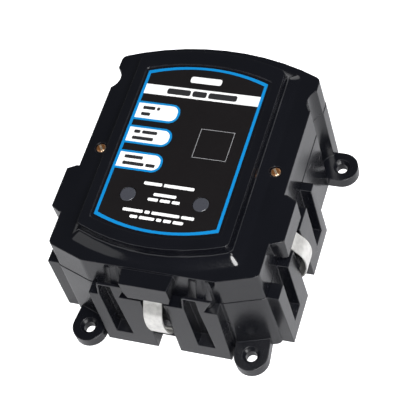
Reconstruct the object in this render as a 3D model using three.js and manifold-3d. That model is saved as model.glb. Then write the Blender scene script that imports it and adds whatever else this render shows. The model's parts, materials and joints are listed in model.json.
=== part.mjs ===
// A wall-mounted surge protective device, lying on its back.
// Millimetres. The origin is the centre of the flat back, +Z comes out of the labelled face,
// +Y points to the top of the label and +X to the label's right.

import * as THREE from "three";
import { mergeVertices } from "three/addons/utils/BufferGeometryUtils.js";
import Module from "manifold-3d";

const wasm = await Module();
wasm.setup();

// ---------------------------------------------------------------- driving dimensions
const BODY_WIDTH = 117.6;
const TOTAL_HEIGHT = 80;
const RIM_HEIGHT = 69;
const PARTING_HEIGHT = 47.6;
const WALL = 2.6;
const GAP = 0.3;
const ROUND_SEGMENTS = 24;

// Outline of the body at the rim, seen from the face.
const HALF_WIDTH = BODY_WIDTH / 2;
const BOTTOM_Y = -70.5;
const KINK_X = 37.5;
const BOTTOM_CORNER_Y = -63.6;
const TOP_CORNER_Y = 63.6;
const TOP_Y = 75.7;
const COVER_DRAFT = 0.6;
const BASE_DRAFT_TOP = 0.8;
const BASE_DRAFT_FOOT = 1.8;
const BODY_BOTTOM_ROUND = 8;
const BODY_SIDE_ROUND = 3.5;
const BODY_TOP_ROUND = 4;

// Raised panel that carries the label.
const PANEL_HALF_WIDTH = 42;
const PANEL_BOTTOM_CORNER_Y = -54.7;
const PANEL_BOTTOM_Y = -62.9;
const PANEL_TOP_CORNER_Y = 58;
const PANEL_TOP_Y = 65.2;
const PANEL_ROUND = 3;
const PANEL_DRAFT = 0.06;
const PANEL_FLARE = 6;
const PANEL_FLARE_HEIGHT = 6;

// Label and its recess.
const LABEL_HALF_WIDTH = 35;
const LABEL_CORNER_Y = 48.1;
const LABEL_MID_Y = 54.4;
const LABEL_ROUND = 2;
const LABEL_THICKNESS = 0.4;
const LABEL_RECESS_DEPTH = 0.6;
const LABEL_MARGIN = 1.7;
const LENS_X = 20.5;
const LENS_Y = -32.9;
const LENS_RADIUS = 4.3;

// Latch side: a hood on the cover, a gap in the base and a slotted post on each side of it.
// The posts end level with the base's top edge.
const POST_REACH = 9.6;
const SIDE_POST_REACH = 8.5;
const POST_NEAR = 6.6;
const POST_FAR = 36.4;
const POST_TOP = PARTING_HEIGHT;
const SLOT_CENTRE = 24;
const SLOT_BOTTOM_Z = 10;
const SLOT_BACK_D = 0.4;
const SIDE_LATCH_Y = -27;
const CLIP_WIDTH = 10.4;
const CLIP_THICKNESS = 1;
const CLIP_PIVOT_D = 4.6;
const CLIP_PIVOT_Z = 14.6;
const CLIP_PIVOT_RADIUS = 1.3;
const PIVOT_HALF = POST_NEAR + 1.6;

// Screw ears.
const EAR_THICKNESS = 6.9;
const EAR_RADIUS = 9.5;
const EAR_HOLE_RADIUS = 3.2;
const EAR_COUNTERSINK = 1.6;
const BOTTOM_EAR = { x: 47.8, y: -78.2 };
const SIDE_EAR = { x: 67, y: 48.7 };
const DRIVER_CHANNEL = { x: 64.1, y: 48.2, r: 8.8 };

// Cover screws.
const SCREW_X = 50.4;
const SCREW_HEAD_RADIUS = 2.7;
const SCREW_HEAD_HEIGHT = 1.6;
const SCREW_SHANK_RADIUS = 1.4;
const SCREW_TIP_Z = 50;
const SCREW_SLOT_WIDTH = 0.9;
const SCREW_SLOT_ANGLE = 125;
const SCREW_RECESS_RADIUS = 3.4;
const SCREW_RECESS_DEPTH = 1.5;

// Conduit entry in the top wall.
const ENTRY_Z = 24;
const NIPPLE_RADIUS = 10;
const NIPPLE_BORE = 7.8;
const NIPPLE_END_Y = 90;

// Inside.
const BOARD_Z = 12;
const BOARD_THICKNESS = 1.6;
const BOARD_HALF_WIDTH = 49;
const BOARD_WAIST = 43;
const BOARD_LOW_Y = -56;
const BOARD_HIGH_Y = 50;
const FUSE_X = 24;
const FUSE_Y = 36;
const FUSE_RISE = 7;
const FUSE_RADIUS = 5;
const FUSE_TUBE_RADIUS = 4.6;
const FUSE_HALF = 16;
const FUSE_TUBE_HALF = 9;
const HOLDER_HALF = 15;
const HOLDER_CLIP_X = 12;
const TERMINAL_Y = 46;
const TERMINAL_PITCH = 7;
const TERMINAL_HEIGHT = 13;

// ---------------------------------------------------------------- solids
function toSolid(geometry) {
  geometry.deleteAttribute("normal");
  geometry.deleteAttribute("uv");
  const merged = mergeVertices(geometry, 1e-4);
  const mesh = new wasm.Mesh({
    numProp: 3,
    vertProperties: merged.attributes.position.array,
    triVerts: new Uint32Array(merged.index.array),
  });
  return new wasm.Manifold(mesh);
}

function toGeometry(solid) {
  const mesh = solid.getMesh();
  const geometry = new THREE.BufferGeometry();
  geometry.setAttribute("position", new THREE.BufferAttribute(mesh.vertProperties, 3));
  geometry.setIndex(new THREE.BufferAttribute(mesh.triVerts, 1));
  geometry.computeVertexNormals();
  return geometry;
}

function joined(solids) {
  return solids.reduce((whole, solid) => whole.add(solid));
}

function cut(solid, tools) {
  return tools.reduce((rest, tool) => rest.subtract(tool), solid);
}

function box(x0, x1, y0, y1, z0, z1) {
  const geometry = new THREE.BoxGeometry(x1 - x0, y1 - y0, z1 - z0);
  geometry.translate((x0 + x1) / 2, (y0 + y1) / 2, (z0 + z1) / 2);
  return toSolid(geometry);
}

function cylinder(radius, z0, z1, x = 0, y = 0, segments = ROUND_SEGMENTS) {
  const geometry = new THREE.CylinderGeometry(radius, radius, z1 - z0, segments);
  geometry.rotateX(Math.PI / 2);
  geometry.translate(x, y, (z0 + z1) / 2);
  return toSolid(geometry);
}

// A turned piece about the Z axis at x, y; points are [radius, z].
function turned(points, x = 0, y = 0, segments = ROUND_SEGMENTS) {
  const profile = points.map(([radius, z]) => new THREE.Vector2(radius, z));
  const geometry = new THREE.LatheGeometry(profile, segments);
  geometry.rotateX(Math.PI / 2);
  geometry.translate(x, y, 0);
  return toSolid(geometry);
}

// An upright prism over a list of THREE.Vector2, cut into layers so that it can be drafted.
function prism(outline, z0, z1, layers = 1) {
  const geometry = new THREE.ExtrudeGeometry(new THREE.Shape(outline), {
    depth: z1 - z0,
    steps: layers,
    bevelEnabled: false,
  });
  geometry.translate(0, 0, z0);
  return geometry;
}

// A bar of constant section along a wall, from u0 to u1. The profile's points are [d, z],
// where d is the distance out from the wall.
function profileAlongWall(profile, u0, u1) {
  const outline = profile.map(([d, z]) => new THREE.Vector2(-d, z));
  const geometry = new THREE.ExtrudeGeometry(new THREE.Shape(outline), {
    depth: u1 - u0,
    bevelEnabled: false,
  });
  geometry.rotateX(Math.PI / 2);
  geometry.rotateZ(Math.PI / 2);
  geometry.translate(u0, 0, 0);
  return toSolid(geometry);
}

// A plate over [u, z] points that lies along a wall, from distance d0 to d1 out of it.
function plateOnWall(points, d0, d1) {
  const outline = points.map(([u, z]) => new THREE.Vector2(u, z));
  const geometry = new THREE.ExtrudeGeometry(new THREE.Shape(outline), {
    depth: d1 - d0,
    bevelEnabled: false,
  });
  geometry.rotateX(Math.PI / 2);
  geometry.translate(0, -d0, 0);
  return toSolid(geometry);
}

// Corners are { x, y, r }; r rounds the corner with a short curve.
function roundedLoop(corners, steps = 4) {
  const points = [];
  corners.forEach((corner, index) => {
    const here = new THREE.Vector2(corner.x, corner.y);
    if (!corner.r) {
      points.push(here);
      return;
    }
    const before = corners[(index + corners.length - 1) % corners.length];
    const after = corners[(index + 1) % corners.length];
    const back = new THREE.Vector2(before.x, before.y).sub(here).normalize();
    const ahead = new THREE.Vector2(after.x, after.y).sub(here).normalize();
    const reach = corner.r / Math.tan(Math.acos(back.dot(ahead)) / 2);
    const start = here.clone().addScaledVector(back, reach);
    const end = here.clone().addScaledVector(ahead, reach);
    const curve = new THREE.QuadraticBezierCurve(start, here, end);
    points.push(...curve.getPoints(steps));
  });
  return points;
}

// Points between two ends of a shallow arc whose middle stands at midY.
function shallowArc(x0, x1, endY, midY, count) {
  const half = Math.abs(x1 - x0) / 2;
  const rise = midY - endY;
  const radius = (half * half + rise * rise) / (2 * Math.abs(rise));
  const points = [];
  for (let step = 1; step < count; step += 1) {
    const x = x0 + ((x1 - x0) * step) / count;
    const drop = radius - Math.sqrt(radius * radius - x * x);
    points.push({ x, y: midY - Math.sign(rise) * drop });
  }
  return points;
}

// Grows an upright geometry outwards by growAt(z), more or less evenly all round.
function drafted(geometry, halfX, halfY, growAt) {
  const position = geometry.attributes.position;
  for (let index = 0; index < position.count; index += 1) {
    const grow = growAt(position.getZ(index));
    position.setX(index, position.getX(index) * (1 + grow / halfX));
    position.setY(index, position.getY(index) * (1 + grow / halfY));
  }
  return geometry;
}

// ---------------------------------------------------------------- outlines
function bodyOutline(inset) {
  const side = HALF_WIDTH - inset;
  const topCorner = TOP_CORNER_Y - inset;
  const bottomCorner = BOTTOM_CORNER_Y + inset;
  return roundedLoop([
    { x: -KINK_X, y: BOTTOM_Y + inset, r: BODY_BOTTOM_ROUND },
    { x: KINK_X, y: BOTTOM_Y + inset, r: BODY_BOTTOM_ROUND },
    { x: side, y: bottomCorner, r: BODY_SIDE_ROUND },
    { x: side, y: topCorner, r: BODY_TOP_ROUND },
    ...shallowArc(side, -side, topCorner, TOP_Y - inset, 10),
    { x: -side, y: topCorner, r: BODY_TOP_ROUND },
    { x: -side, y: bottomCorner, r: BODY_SIDE_ROUND },
  ]);
}

function panelOutline(inset) {
  const side = PANEL_HALF_WIDTH - inset;
  const bottomCorner = PANEL_BOTTOM_CORNER_Y + inset;
  const topCorner = PANEL_TOP_CORNER_Y - inset;
  return roundedLoop([
    { x: -side, y: bottomCorner, r: PANEL_ROUND },
    ...shallowArc(-side, side, bottomCorner, PANEL_BOTTOM_Y + inset, 8),
    { x: side, y: bottomCorner, r: PANEL_ROUND },
    { x: side, y: topCorner, r: PANEL_ROUND },
    ...shallowArc(side, -side, topCorner, PANEL_TOP_Y - inset, 8),
    { x: -side, y: topCorner, r: PANEL_ROUND },
  ]);
}

function labelOutline(margin) {
  const side = LABEL_HALF_WIDTH + margin;
  const corner = LABEL_CORNER_Y + margin;
  const middle = LABEL_MID_Y + margin;
  return roundedLoop([
    { x: -side, y: -corner, r: LABEL_ROUND },
    ...shallowArc(-side, side, -corner, -middle, 8),
    { x: side, y: -corner, r: LABEL_ROUND },
    { x: side, y: corner, r: LABEL_ROUND },
    ...shallowArc(side, -side, corner, middle, 8),
    { x: -side, y: corner, r: LABEL_ROUND },
  ]);
}

// ---------------------------------------------------------------- latch sides
// Each latch side is drawn with u along the wall, seen from outside with +u to the right,
// and the wall's face at y = 0 with outwards along -y. It is then turned into place.
// The right side is the mirror image of the left one.
const BOTTOM_SLOT = { footLeft: -5.4, footRight: 4.7, headLeft: -6, headRight: 2.4 };
const SIDE_SLOT = { footLeft: -6.1, footRight: 4.3, headLeft: -7, headRight: 3.3 };
const LATCH_SIDES = [
  {
    name: "bottom",
    x: 0,
    y: BOTTOM_Y,
    turn: 0,
    reach: POST_REACH,
    lean: 0.045,
    taper: 0,
    slot: BOTTOM_SLOT,
    plates: true,
    hood: { wallHalf: 14.2, frontHalf: 13.2, lowHalf: 10.4, top: 67.6, centre: 0, reach: 9.4 },
  },
  {
    name: "right",
    x: HALF_WIDTH,
    y: SIDE_LATCH_Y,
    turn: 90,
    reach: SIDE_POST_REACH,
    lean: 0.03,
    taper: 12,
    slot: SIDE_SLOT,
    plates: false,
    hood: { wallHalf: 15.2, frontHalf: 12.4, lowHalf: 12.4, top: RIM_HEIGHT, centre: 1.5, reach: 7.4 },
  },
  {
    name: "left",
    x: -HALF_WIDTH,
    y: SIDE_LATCH_Y,
    turn: -90,
    reach: SIDE_POST_REACH,
    lean: 0.03,
    taper: 12,
    slot: SIDE_SLOT,
    plates: false,
    hood: { wallHalf: 15.2, frontHalf: 12.4, lowHalf: 12.4, top: RIM_HEIGHT, centre: 1.5, reach: 6.4 },
  },
];

function placed(solid, side) {
  const handed = side.name === "right" ? solid.mirror([1, 0, 0]) : solid;
  return handed.rotate([0, 0, side.turn]).translate([side.x, side.y, 0]);
}

const PLATE_TOP = 58.5;
const PLATE_THICKNESS = 1.4;
const PLATE_ROOT = 3;
const PLATE_NECK = 5;
const PLATE_SPREAD = 11.5;
const FRAME_WIDTH = 0.9;
const FRAME_LEAN = 1.5;
const FRAME_ROUND = 0.9;
const FRAME_HEAD = PLATE_TOP - 1.2;

// A post's front face leans in a little towards the top.
function postFront(side, z) {
  return side.reach - side.lean * z;
}

function postBlock(sign, side) {
  const profile = [
    [-WALL, 0],
    [side.reach, 0],
    [postFront(side, POST_TOP), POST_TOP],
    [-WALL, POST_TOP],
  ];
  const ends = [sign * POST_NEAR, sign * POST_FAR];
  return profileAlongWall(profile, Math.min(...ends), Math.max(...ends));
}

// Sloping gusset that runs from a post's outer end down to the foot of the wall.
function farGusset(side) {
  const toe = POST_FAR + side.taper;
  const foot = [
    new THREE.Vector2(POST_FAR - 1, 1 - side.reach),
    new THREE.Vector2(POST_FAR, -side.reach),
    new THREE.Vector2(toe, -1),
    new THREE.Vector2(toe, WALL),
    new THREE.Vector2(POST_FAR - 1, WALL),
  ];
  const geometry = new THREE.ExtrudeGeometry(new THREE.Shape(foot), { depth: POST_TOP, bevelEnabled: false });
  const position = geometry.attributes.position;
  for (let index = 0; index < position.count; index += 1) {
    const risen = position.getZ(index) / POST_TOP;
    const beyond = Math.max(position.getX(index) - POST_FAR, 0);
    const out = Math.max(-position.getY(index), 0);
    position.setX(index, position.getX(index) - beyond * risen);
    position.setY(index, position.getY(index) + (out * side.lean * position.getZ(index)) / side.reach);
  }
  return toSolid(geometry).mirror([1, 0, 0]);
}

// The slot's edges lean sideways. Its head is open at the top of the post, or goes on up
// inside the plate's frame.
function slotCutter(centre, side) {
  const { footLeft, footRight, headLeft, headRight } = side.slot;
  const points = [
    [centre + footLeft, SLOT_BOTTOM_Z],
    [centre + footRight, SLOT_BOTTOM_Z],
    [centre + headRight, POST_TOP],
    [centre + headRight, FRAME_HEAD],
    [centre + headLeft + FRAME_LEAN, FRAME_HEAD],
    [centre + headLeft, POST_TOP],
  ];
  return plateOnWall(points, SLOT_BACK_D, side.reach + 2);
}

// Thin plate that stands on the post to the right of its slot and widens upwards, with a
// narrow frame that goes round the slot's head.
function postPlate(centre, side) {
  const root = POST_TOP - PLATE_ROOT;
  const frameLeft = centre + side.slot.headLeft - FRAME_WIDTH;
  const neck = centre + PLATE_NECK;
  const profile = [
    [postFront(side, PLATE_TOP) - PLATE_THICKNESS, root],
    [postFront(side, root), root],
    [postFront(side, PLATE_TOP), PLATE_TOP],
    [postFront(side, PLATE_TOP) - PLATE_THICKNESS, PLATE_TOP],
  ];
  const slab = profileAlongWall(profile, frameLeft - 1, centre + PLATE_SPREAD + 1);
  const outline = plateOnWall(
    [
      [frameLeft, root - 1],
      [neck, root - 1],
      [neck, POST_TOP],
      [centre + PLATE_SPREAD, PLATE_TOP + 1],
      [frameLeft + FRAME_LEAN + FRAME_ROUND, PLATE_TOP + 1],
      [frameLeft + FRAME_LEAN + FRAME_ROUND, PLATE_TOP],
      [frameLeft + FRAME_LEAN, PLATE_TOP - FRAME_ROUND],
      [frameLeft, POST_TOP],
    ],
    0,
    side.reach + 1,
  );
  return slab.intersect(outline);
}

function postsOn(side) {
  const solids = [-1, 1].map((sign) => {
    const centre = sign * SLOT_CENTRE;
    const block = postBlock(sign, side);
    const post = side.plates ? block.add(postPlate(centre, side)) : block;
    return cut(post, [slotCutter(centre, side)]);
  });
  if (side.taper) {
    solids.push(farGusset(side));
  }
  return solids.map((solid) => placed(solid, side));
}

const CHEEK_LEFT = 2.6;
const CHEEK_BEND = 5.6;
const CHEEK_ROUND = 4;
const CHEEK_STEPS = 6;
const CHEEK_DROP = 0.8;

// Cover cheek that fills the space behind a post's plate and runs back to the wall at the rim.
function coverCheek(centre, side) {
  const out = postFront(side, PLATE_TOP) - PLATE_THICKNESS - GAP;
  const left = centre + CHEEK_LEFT;
  const bend = centre + CHEEK_BEND;
  const plan = [new THREE.Vector2(left, 1), new THREE.Vector2(left, -out)];
  for (let step = 0; step <= CHEEK_STEPS; step += 1) {
    const angle = (Math.PI / 2) * (step / CHEEK_STEPS);
    plan.push(new THREE.Vector2(bend + CHEEK_ROUND * Math.sin(angle), -out * Math.cos(angle)));
  }
  plan.push(new THREE.Vector2(bend + CHEEK_ROUND, 1));
  const foot = POST_TOP + GAP;
  const head = RIM_HEIGHT - CHEEK_DROP;
  const lower = toSolid(prism(plan, foot, PLATE_TOP));
  const upper = prism(plan, PLATE_TOP, head);
  const position = upper.attributes.position;
  for (let index = 0; index < position.count; index += 1) {
    const forward = Math.min(position.getY(index), 0);
    const risen = (position.getZ(index) - PLATE_TOP) / (head - PLATE_TOP);
    position.setY(index, position.getY(index) - forward * risen);
  }
  return lower.add(toSolid(upper));
}

const HOOD_BOTTOM = 53.5;
const HOOD_NECK_D = 1.5;
const HOOD_EDGE = 2;
const HOOD_LOW_SPREAD = 1.2;
const HOOD_SKIN = 1.6;
const HOOD_POCKET_TOP = 65.2;
const CLIP_ROOM = 0.8;

// Hood over the clip: tapered in plan, chamfered below and hollow underneath.
function hood(side) {
  const form = side.hood;
  const plan = [
    new THREE.Vector2(form.centre - form.wallHalf, 1),
    new THREE.Vector2(form.centre - form.wallHalf, -HOOD_NECK_D),
    new THREE.Vector2(form.centre - form.frontHalf, -form.reach),
    new THREE.Vector2(form.centre + form.frontHalf, -form.reach),
    new THREE.Vector2(form.centre + form.wallHalf, -HOOD_NECK_D),
    new THREE.Vector2(form.centre + form.wallHalf, 1),
  ];
  const block = toSolid(prism(plan, HOOD_BOTTOM, form.top));
  const face = plateOnWall(
    [
      [form.centre - form.lowHalf - HOOD_LOW_SPREAD, HOOD_BOTTOM],
      [form.centre + form.lowHalf + HOOD_LOW_SPREAD, HOOD_BOTTOM],
      [form.centre + form.wallHalf + 1, form.top - HOOD_EDGE],
      [form.centre + form.wallHalf + 1, form.top],
      [form.centre - form.wallHalf - 1, form.top],
      [form.centre - form.wallHalf - 1, form.top - HOOD_EDGE],
    ],
    -2,
    form.reach + 1,
  );
  return placed(block.intersect(face), side);
}

// Room that the base's plates leave round a hood.
function hoodClearance(side) {
  const form = side.hood;
  const left = form.centre - form.wallHalf - GAP;
  const right = form.centre + form.wallHalf + GAP;
  return placed(box(left, right, -side.reach - 1, 0, HOOD_BOTTOM - GAP, RIM_HEIGHT), side);
}

function hoodPocket(side) {
  const form = side.hood;
  const half = CLIP_WIDTH / 2 + CLIP_ROOM;
  const pocket = box(-half, half, HOOD_SKIN - form.reach, -0.5, HOOD_BOTTOM - 1, HOOD_POCKET_TOP);
  return placed(pocket, side);
}

// Bowed clip that hooks up into the hood and turns on a pin moulded across its foot.
function latchClip(side) {
  const out = side.reach - POST_REACH;
  const bow = [
    [5.0 + out, 63.4],
    [5.4 + out, 53],
    [6.3 + out, 47.7],
    [8.8 + out, 44.2],
    [11.5 + out, 40.3],
    [12.7 + out, 36],
    [13.0 + out, 31.7],
    [12.2 + out, 25.6],
    [10.2 + out, 19.9],
    [7.2 + out, 16.2],
    [CLIP_PIVOT_D - 0.4, CLIP_PIVOT_Z - 1],
  ];
  const line = new THREE.CatmullRomCurve3(bow.map(([d, z]) => new THREE.Vector3(d, z, 0)));
  const outer = line.getPoints(22);
  const inner = outer.map((point, index) => {
    const tangent = line.getTangent(index / 22);
    return new THREE.Vector3(point.x + tangent.y * CLIP_THICKNESS, point.y - tangent.x * CLIP_THICKNESS, 0);
  });
  const loop = [...outer, ...inner.reverse()].map((point) => [point.x, point.y]);
  const strip = profileAlongWall(loop, -CLIP_WIDTH / 2, CLIP_WIDTH / 2);
  return placed(strip.add(pivotPin(CLIP_PIVOT_RADIUS, PIVOT_HALF)), side);
}

// A round bar along the wall through the clip's pivot.
function pivotPin(radius, half) {
  const geometry = new THREE.CylinderGeometry(radius, radius, half * 2, 20);
  geometry.rotateZ(Math.PI / 2);
  geometry.translate(0, -CLIP_PIVOT_D, CLIP_PIVOT_Z);
  return toSolid(geometry);
}

// ---------------------------------------------------------------- base
function earAt(x, y, towardX, towardY) {
  const pad = cylinder(EAR_RADIUS, 0, EAR_THICKNESS, x, y, 32);
  const dx = towardX - x;
  const dy = towardY - y;
  const length = Math.hypot(dx, dy);
  const neck = new THREE.BoxGeometry(length, EAR_RADIUS * 2, EAR_THICKNESS);
  neck.translate(length / 2, 0, EAR_THICKNESS / 2);
  neck.rotateZ(Math.atan2(dy, dx));
  neck.translate(x, y, 0);
  return pad.add(toSolid(neck));
}

function earHole(x, y) {
  return turned(
    [
      [0, -1],
      [EAR_HOLE_RADIUS, -1],
      [EAR_HOLE_RADIUS, EAR_THICKNESS - 2],
      [EAR_HOLE_RADIUS + EAR_COUNTERSINK, EAR_THICKNESS - 0.6],
      [EAR_HOLE_RADIUS + EAR_COUNTERSINK, EAR_THICKNESS + 1],
      [0, EAR_THICKNESS + 1],
    ],
    x,
    y,
  );
}

const EARS = [
  { x: BOTTOM_EAR.x, y: BOTTOM_EAR.y, towardX: 46, towardY: -62 },
  { x: -BOTTOM_EAR.x, y: BOTTOM_EAR.y, towardX: -46, towardY: -62 },
  { x: SIDE_EAR.x, y: SIDE_EAR.y, towardX: 54, towardY: SIDE_EAR.y },
  { x: -SIDE_EAR.x, y: SIDE_EAR.y, towardX: -54, towardY: SIDE_EAR.y },
];

// Upright channels beside the side ears, for the screwdriver; extra widens them.
function driverChannels(extra, z0, z1) {
  const { x, y, r } = DRIVER_CHANNEL;
  return [-1, 1].map((sign) => cylinder(r + extra, z0, z1, sign * x, y, 32));
}

function baseDraft(z) {
  return BASE_DRAFT_FOOT + ((BASE_DRAFT_TOP - BASE_DRAFT_FOOT) * z) / PARTING_HEIGHT;
}

function baseShell() {
  const outer = toSolid(
    drafted(prism(bodyOutline(0), 0, PARTING_HEIGHT, 2), HALF_WIDTH, -BOTTOM_Y, baseDraft),
  );
  const inner = toSolid(prism(bodyOutline(WALL - BASE_DRAFT_TOP), WALL, PARTING_HEIGHT + 1));
  const cavity = cut(inner, driverChannels(WALL, -1, PARTING_HEIGHT + 2));
  return cut(outer, [cavity]);
}

const BOARD_POSTS = [
  { x: -44, y: -50 },
  { x: 44, y: -50 },
  { x: -44, y: 44 },
  { x: 44, y: 44 },
];
const BOARD_POST_RADIUS = 3.2;
const BOARD_PILOT_RADIUS = 1.3;
const BOSS_RIB_HALF = 1.2;
const INSERT_RADIUS = 2.6;
const INSERT_LENGTH = 8;
const INSERT_BOSS_TOP = 60;
const INSERT_BOSS_RADIUS = 4.4;

function insideBosses() {
  const solids = BOARD_POSTS.map(({ x, y }) => cylinder(BOARD_POST_RADIUS, WALL - 0.5, BOARD_Z, x, y, 20));
  [-1, 1].forEach((sign) => {
    solids.push(cylinder(INSERT_BOSS_RADIUS, WALL - 0.5, INSERT_BOSS_TOP, sign * SCREW_X, 0));
    const near = Math.min(sign * SCREW_X, sign * (HALF_WIDTH - 1));
    const far = Math.max(sign * SCREW_X, sign * (HALF_WIDTH - 1));
    solids.push(box(near, far, -BOSS_RIB_HALF, BOSS_RIB_HALF, WALL - 0.5, PARTING_HEIGHT - 4));
  });
  return solids;
}

function bossHoles() {
  const pilot = ({ x, y }) => cylinder(BOARD_PILOT_RADIUS, WALL + 1.4, BOARD_Z + 1, x, y, 16);
  const solids = BOARD_POSTS.map(pilot);
  [-1, 1].forEach((sign) => {
    const x = sign * SCREW_X;
    solids.push(cylinder(INSERT_RADIUS, INSERT_BOSS_TOP - INSERT_LENGTH, INSERT_BOSS_TOP + 1, x, 0));
    solids.push(cylinder(SCREW_SHANK_RADIUS + 0.5, 40, INSERT_BOSS_TOP, x, 0, 20));
  });
  return solids;
}

function entryHole(radius) {
  const hole = new THREE.CylinderGeometry(radius, radius, 20, ROUND_SEGMENTS);
  hole.translate(0, TOP_Y, 0);
  hole.translate(0, 0, ENTRY_Z);
  return toSolid(hole);
}

function baseHousing() {
  const parts = [baseShell(), ...insideBosses()];
  LATCH_SIDES.forEach((side) => parts.push(...postsOn(side)));
  EARS.forEach((ear) => parts.push(earAt(ear.x, ear.y, ear.towardX, ear.towardY)));
  const whole = joined(parts);
  const channels = driverChannels(0, EAR_THICKNESS, PARTING_HEIGHT + 2);
  const tools = [...channels, entryHole(NIPPLE_RADIUS + GAP), ...bossHoles()];
  EARS.forEach((ear) => tools.push(earHole(ear.x, ear.y)));
  LATCH_SIDES.forEach((side) => {
    tools.push(hoodClearance(side));
    tools.push(placed(pivotPin(CLIP_PIVOT_RADIUS + GAP, PIVOT_HALF + 0.4), side));
  });
  tools.push(ratingRecess());
  tools.push(gasketSeat());
  return cut(whole, tools);
}

// ---------------------------------------------------------------- cover
function coverDraft(z) {
  return (COVER_DRAFT * (RIM_HEIGHT - z)) / (RIM_HEIGHT - PARTING_HEIGHT);
}

function panelFlare(z) {
  const rise = Math.min(Math.max((z - RIM_HEIGHT) / PANEL_FLARE_HEIGHT, 0), 1);
  return PANEL_FLARE * (1 - Math.sin((rise * Math.PI) / 2)) + PANEL_DRAFT * (TOTAL_HEIGHT - z);
}

function raisedPanel() {
  const sunk = 1;
  const foot = drafted(
    prism(panelOutline(0), RIM_HEIGHT - sunk, RIM_HEIGHT + PANEL_FLARE_HEIGHT, 7),
    PANEL_HALF_WIDTH,
    -PANEL_BOTTOM_Y,
    panelFlare,
  );
  const head = drafted(
    prism(panelOutline(0), RIM_HEIGHT + PANEL_FLARE_HEIGHT, TOTAL_HEIGHT),
    PANEL_HALF_WIDTH,
    -PANEL_BOTTOM_Y,
    panelFlare,
  );
  return toSolid(foot).add(toSolid(head));
}

function coverShell() {
  const skirtBottom = PARTING_HEIGHT + GAP;
  const outer = toSolid(
    drafted(prism(bodyOutline(0), skirtBottom, RIM_HEIGHT), HALF_WIDTH, -BOTTOM_Y, coverDraft),
  );
  const parts = [outer, raisedPanel()];
  LATCH_SIDES.forEach((side) => {
    parts.push(hood(side));
    if (side.plates) {
      [-1, 1].forEach((sign) => parts.push(placed(coverCheek(sign * SLOT_CENTRE, side), side)));
    }
  });
  const cavity = cut(
    toSolid(prism(bodyOutline(WALL), PARTING_HEIGHT - 1, RIM_HEIGHT - WALL)),
    driverChannels(WALL, PARTING_HEIGHT - 2, RIM_HEIGHT),
  );
  const panelCavity = toSolid(prism(panelOutline(WALL), RIM_HEIGHT - WALL - 1, TOTAL_HEIGHT - WALL));
  const tools = [cavity, panelCavity, ...driverChannels(0, PARTING_HEIGHT - 1, RIM_HEIGHT + 1)];
  LATCH_SIDES.forEach((side) => {
    tools.push(hoodPocket(side));
  });
  tools.push(toSolid(prism(labelOutline(LABEL_MARGIN), TOTAL_HEIGHT - LABEL_RECESS_DEPTH, TOTAL_HEIGHT + 1)));
  [-1, 1].forEach((sign) => {
    tools.push(cylinder(LENS_RADIUS + GAP, TOTAL_HEIGHT - WALL - 1, TOTAL_HEIGHT, sign * LENS_X, LENS_Y));
    tools.push(
      cylinder(SCREW_RECESS_RADIUS, RIM_HEIGHT - SCREW_RECESS_DEPTH, RIM_HEIGHT + 1, sign * SCREW_X, 0),
    );
    tools.push(cylinder(SCREW_SHANK_RADIUS + 0.4, 60, RIM_HEIGHT + 1, sign * SCREW_X, 0, 20));
  });
  return cut(joined(parts), tools);
}

function labelPlate() {
  const floor = TOTAL_HEIGHT - LABEL_RECESS_DEPTH;
  const plate = toSolid(prism(labelOutline(0), floor, floor + LABEL_THICKNESS));
  const holes = [-1, 1].map((sign) =>
    cylinder(LENS_RADIUS + GAP, floor - 1, TOTAL_HEIGHT, sign * LENS_X, LENS_Y),
  );
  return cut(plate, holes);
}

function statusLens(sign) {
  const top = TOTAL_HEIGHT - LABEL_RECESS_DEPTH + LABEL_THICKNESS - 0.1;
  return turned(
    [
      [0, top - 2.4],
      [LENS_RADIUS, top - 2.4],
      [LENS_RADIUS, top - 0.2],
      [LENS_RADIUS - 0.3, top],
      [0, top],
    ],
    sign * LENS_X,
    LENS_Y,
  );
}

// ---------------------------------------------------------------- screws and seals
function coverScrew(sign) {
  const seat = RIM_HEIGHT - SCREW_RECESS_DEPTH;
  const headBottom = seat + 0.7;
  const headTop = headBottom + SCREW_HEAD_HEIGHT - 0.6;
  const body = turned(
    [
      [0, SCREW_TIP_Z],
      [SCREW_SHANK_RADIUS - 0.5, SCREW_TIP_Z],
      [SCREW_SHANK_RADIUS, SCREW_TIP_Z + 1],
      [SCREW_SHANK_RADIUS, headBottom],
      [SCREW_HEAD_RADIUS, headBottom],
      [SCREW_HEAD_RADIUS, headTop - 0.4],
      [SCREW_HEAD_RADIUS - 0.5, headTop],
      [0, headTop],
    ],
    sign * SCREW_X,
    0,
    24,
  );
  const slot = new THREE.BoxGeometry(SCREW_HEAD_RADIUS * 3, SCREW_SLOT_WIDTH, 1.4);
  slot.rotateZ(THREE.MathUtils.degToRad(SCREW_SLOT_ANGLE));
  slot.translate(sign * SCREW_X, 0, headTop);
  return cut(body, [toSolid(slot)]);
}

function sealRing(x, y, inner, outer, z0, z1) {
  const middle = (inner + outer) / 2;
  return turned(
    [
      [inner, z0 + (z1 - z0) * 0.3],
      [middle - 0.1, z0],
      [middle + 0.1, z0],
      [outer, z0 + (z1 - z0) * 0.3],
      [outer, z1 - (z1 - z0) * 0.3],
      [middle + 0.1, z1],
      [middle - 0.1, z1],
      [inner, z1 - (z1 - z0) * 0.3],
      [inner, z0 + (z1 - z0) * 0.3],
    ],
    x,
    y,
    24,
  );
}

function threadedInsert(sign) {
  const bottom = INSERT_BOSS_TOP - INSERT_LENGTH + 0.4;
  const top = INSERT_BOSS_TOP - 0.2;
  const outer = INSERT_RADIUS - 0.05;
  const bore = SCREW_SHANK_RADIUS + 0.3;
  return turned(
    [
      [bore, bottom],
      [outer, bottom],
      [outer, bottom + 3],
      [outer - 0.4, bottom + 3.4],
      [outer - 0.4, bottom + 4.4],
      [outer, bottom + 4.8],
      [outer, top],
      [bore, top],
      [bore, bottom],
    ],
    sign * SCREW_X,
    0,
    24,
  );
}

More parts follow.
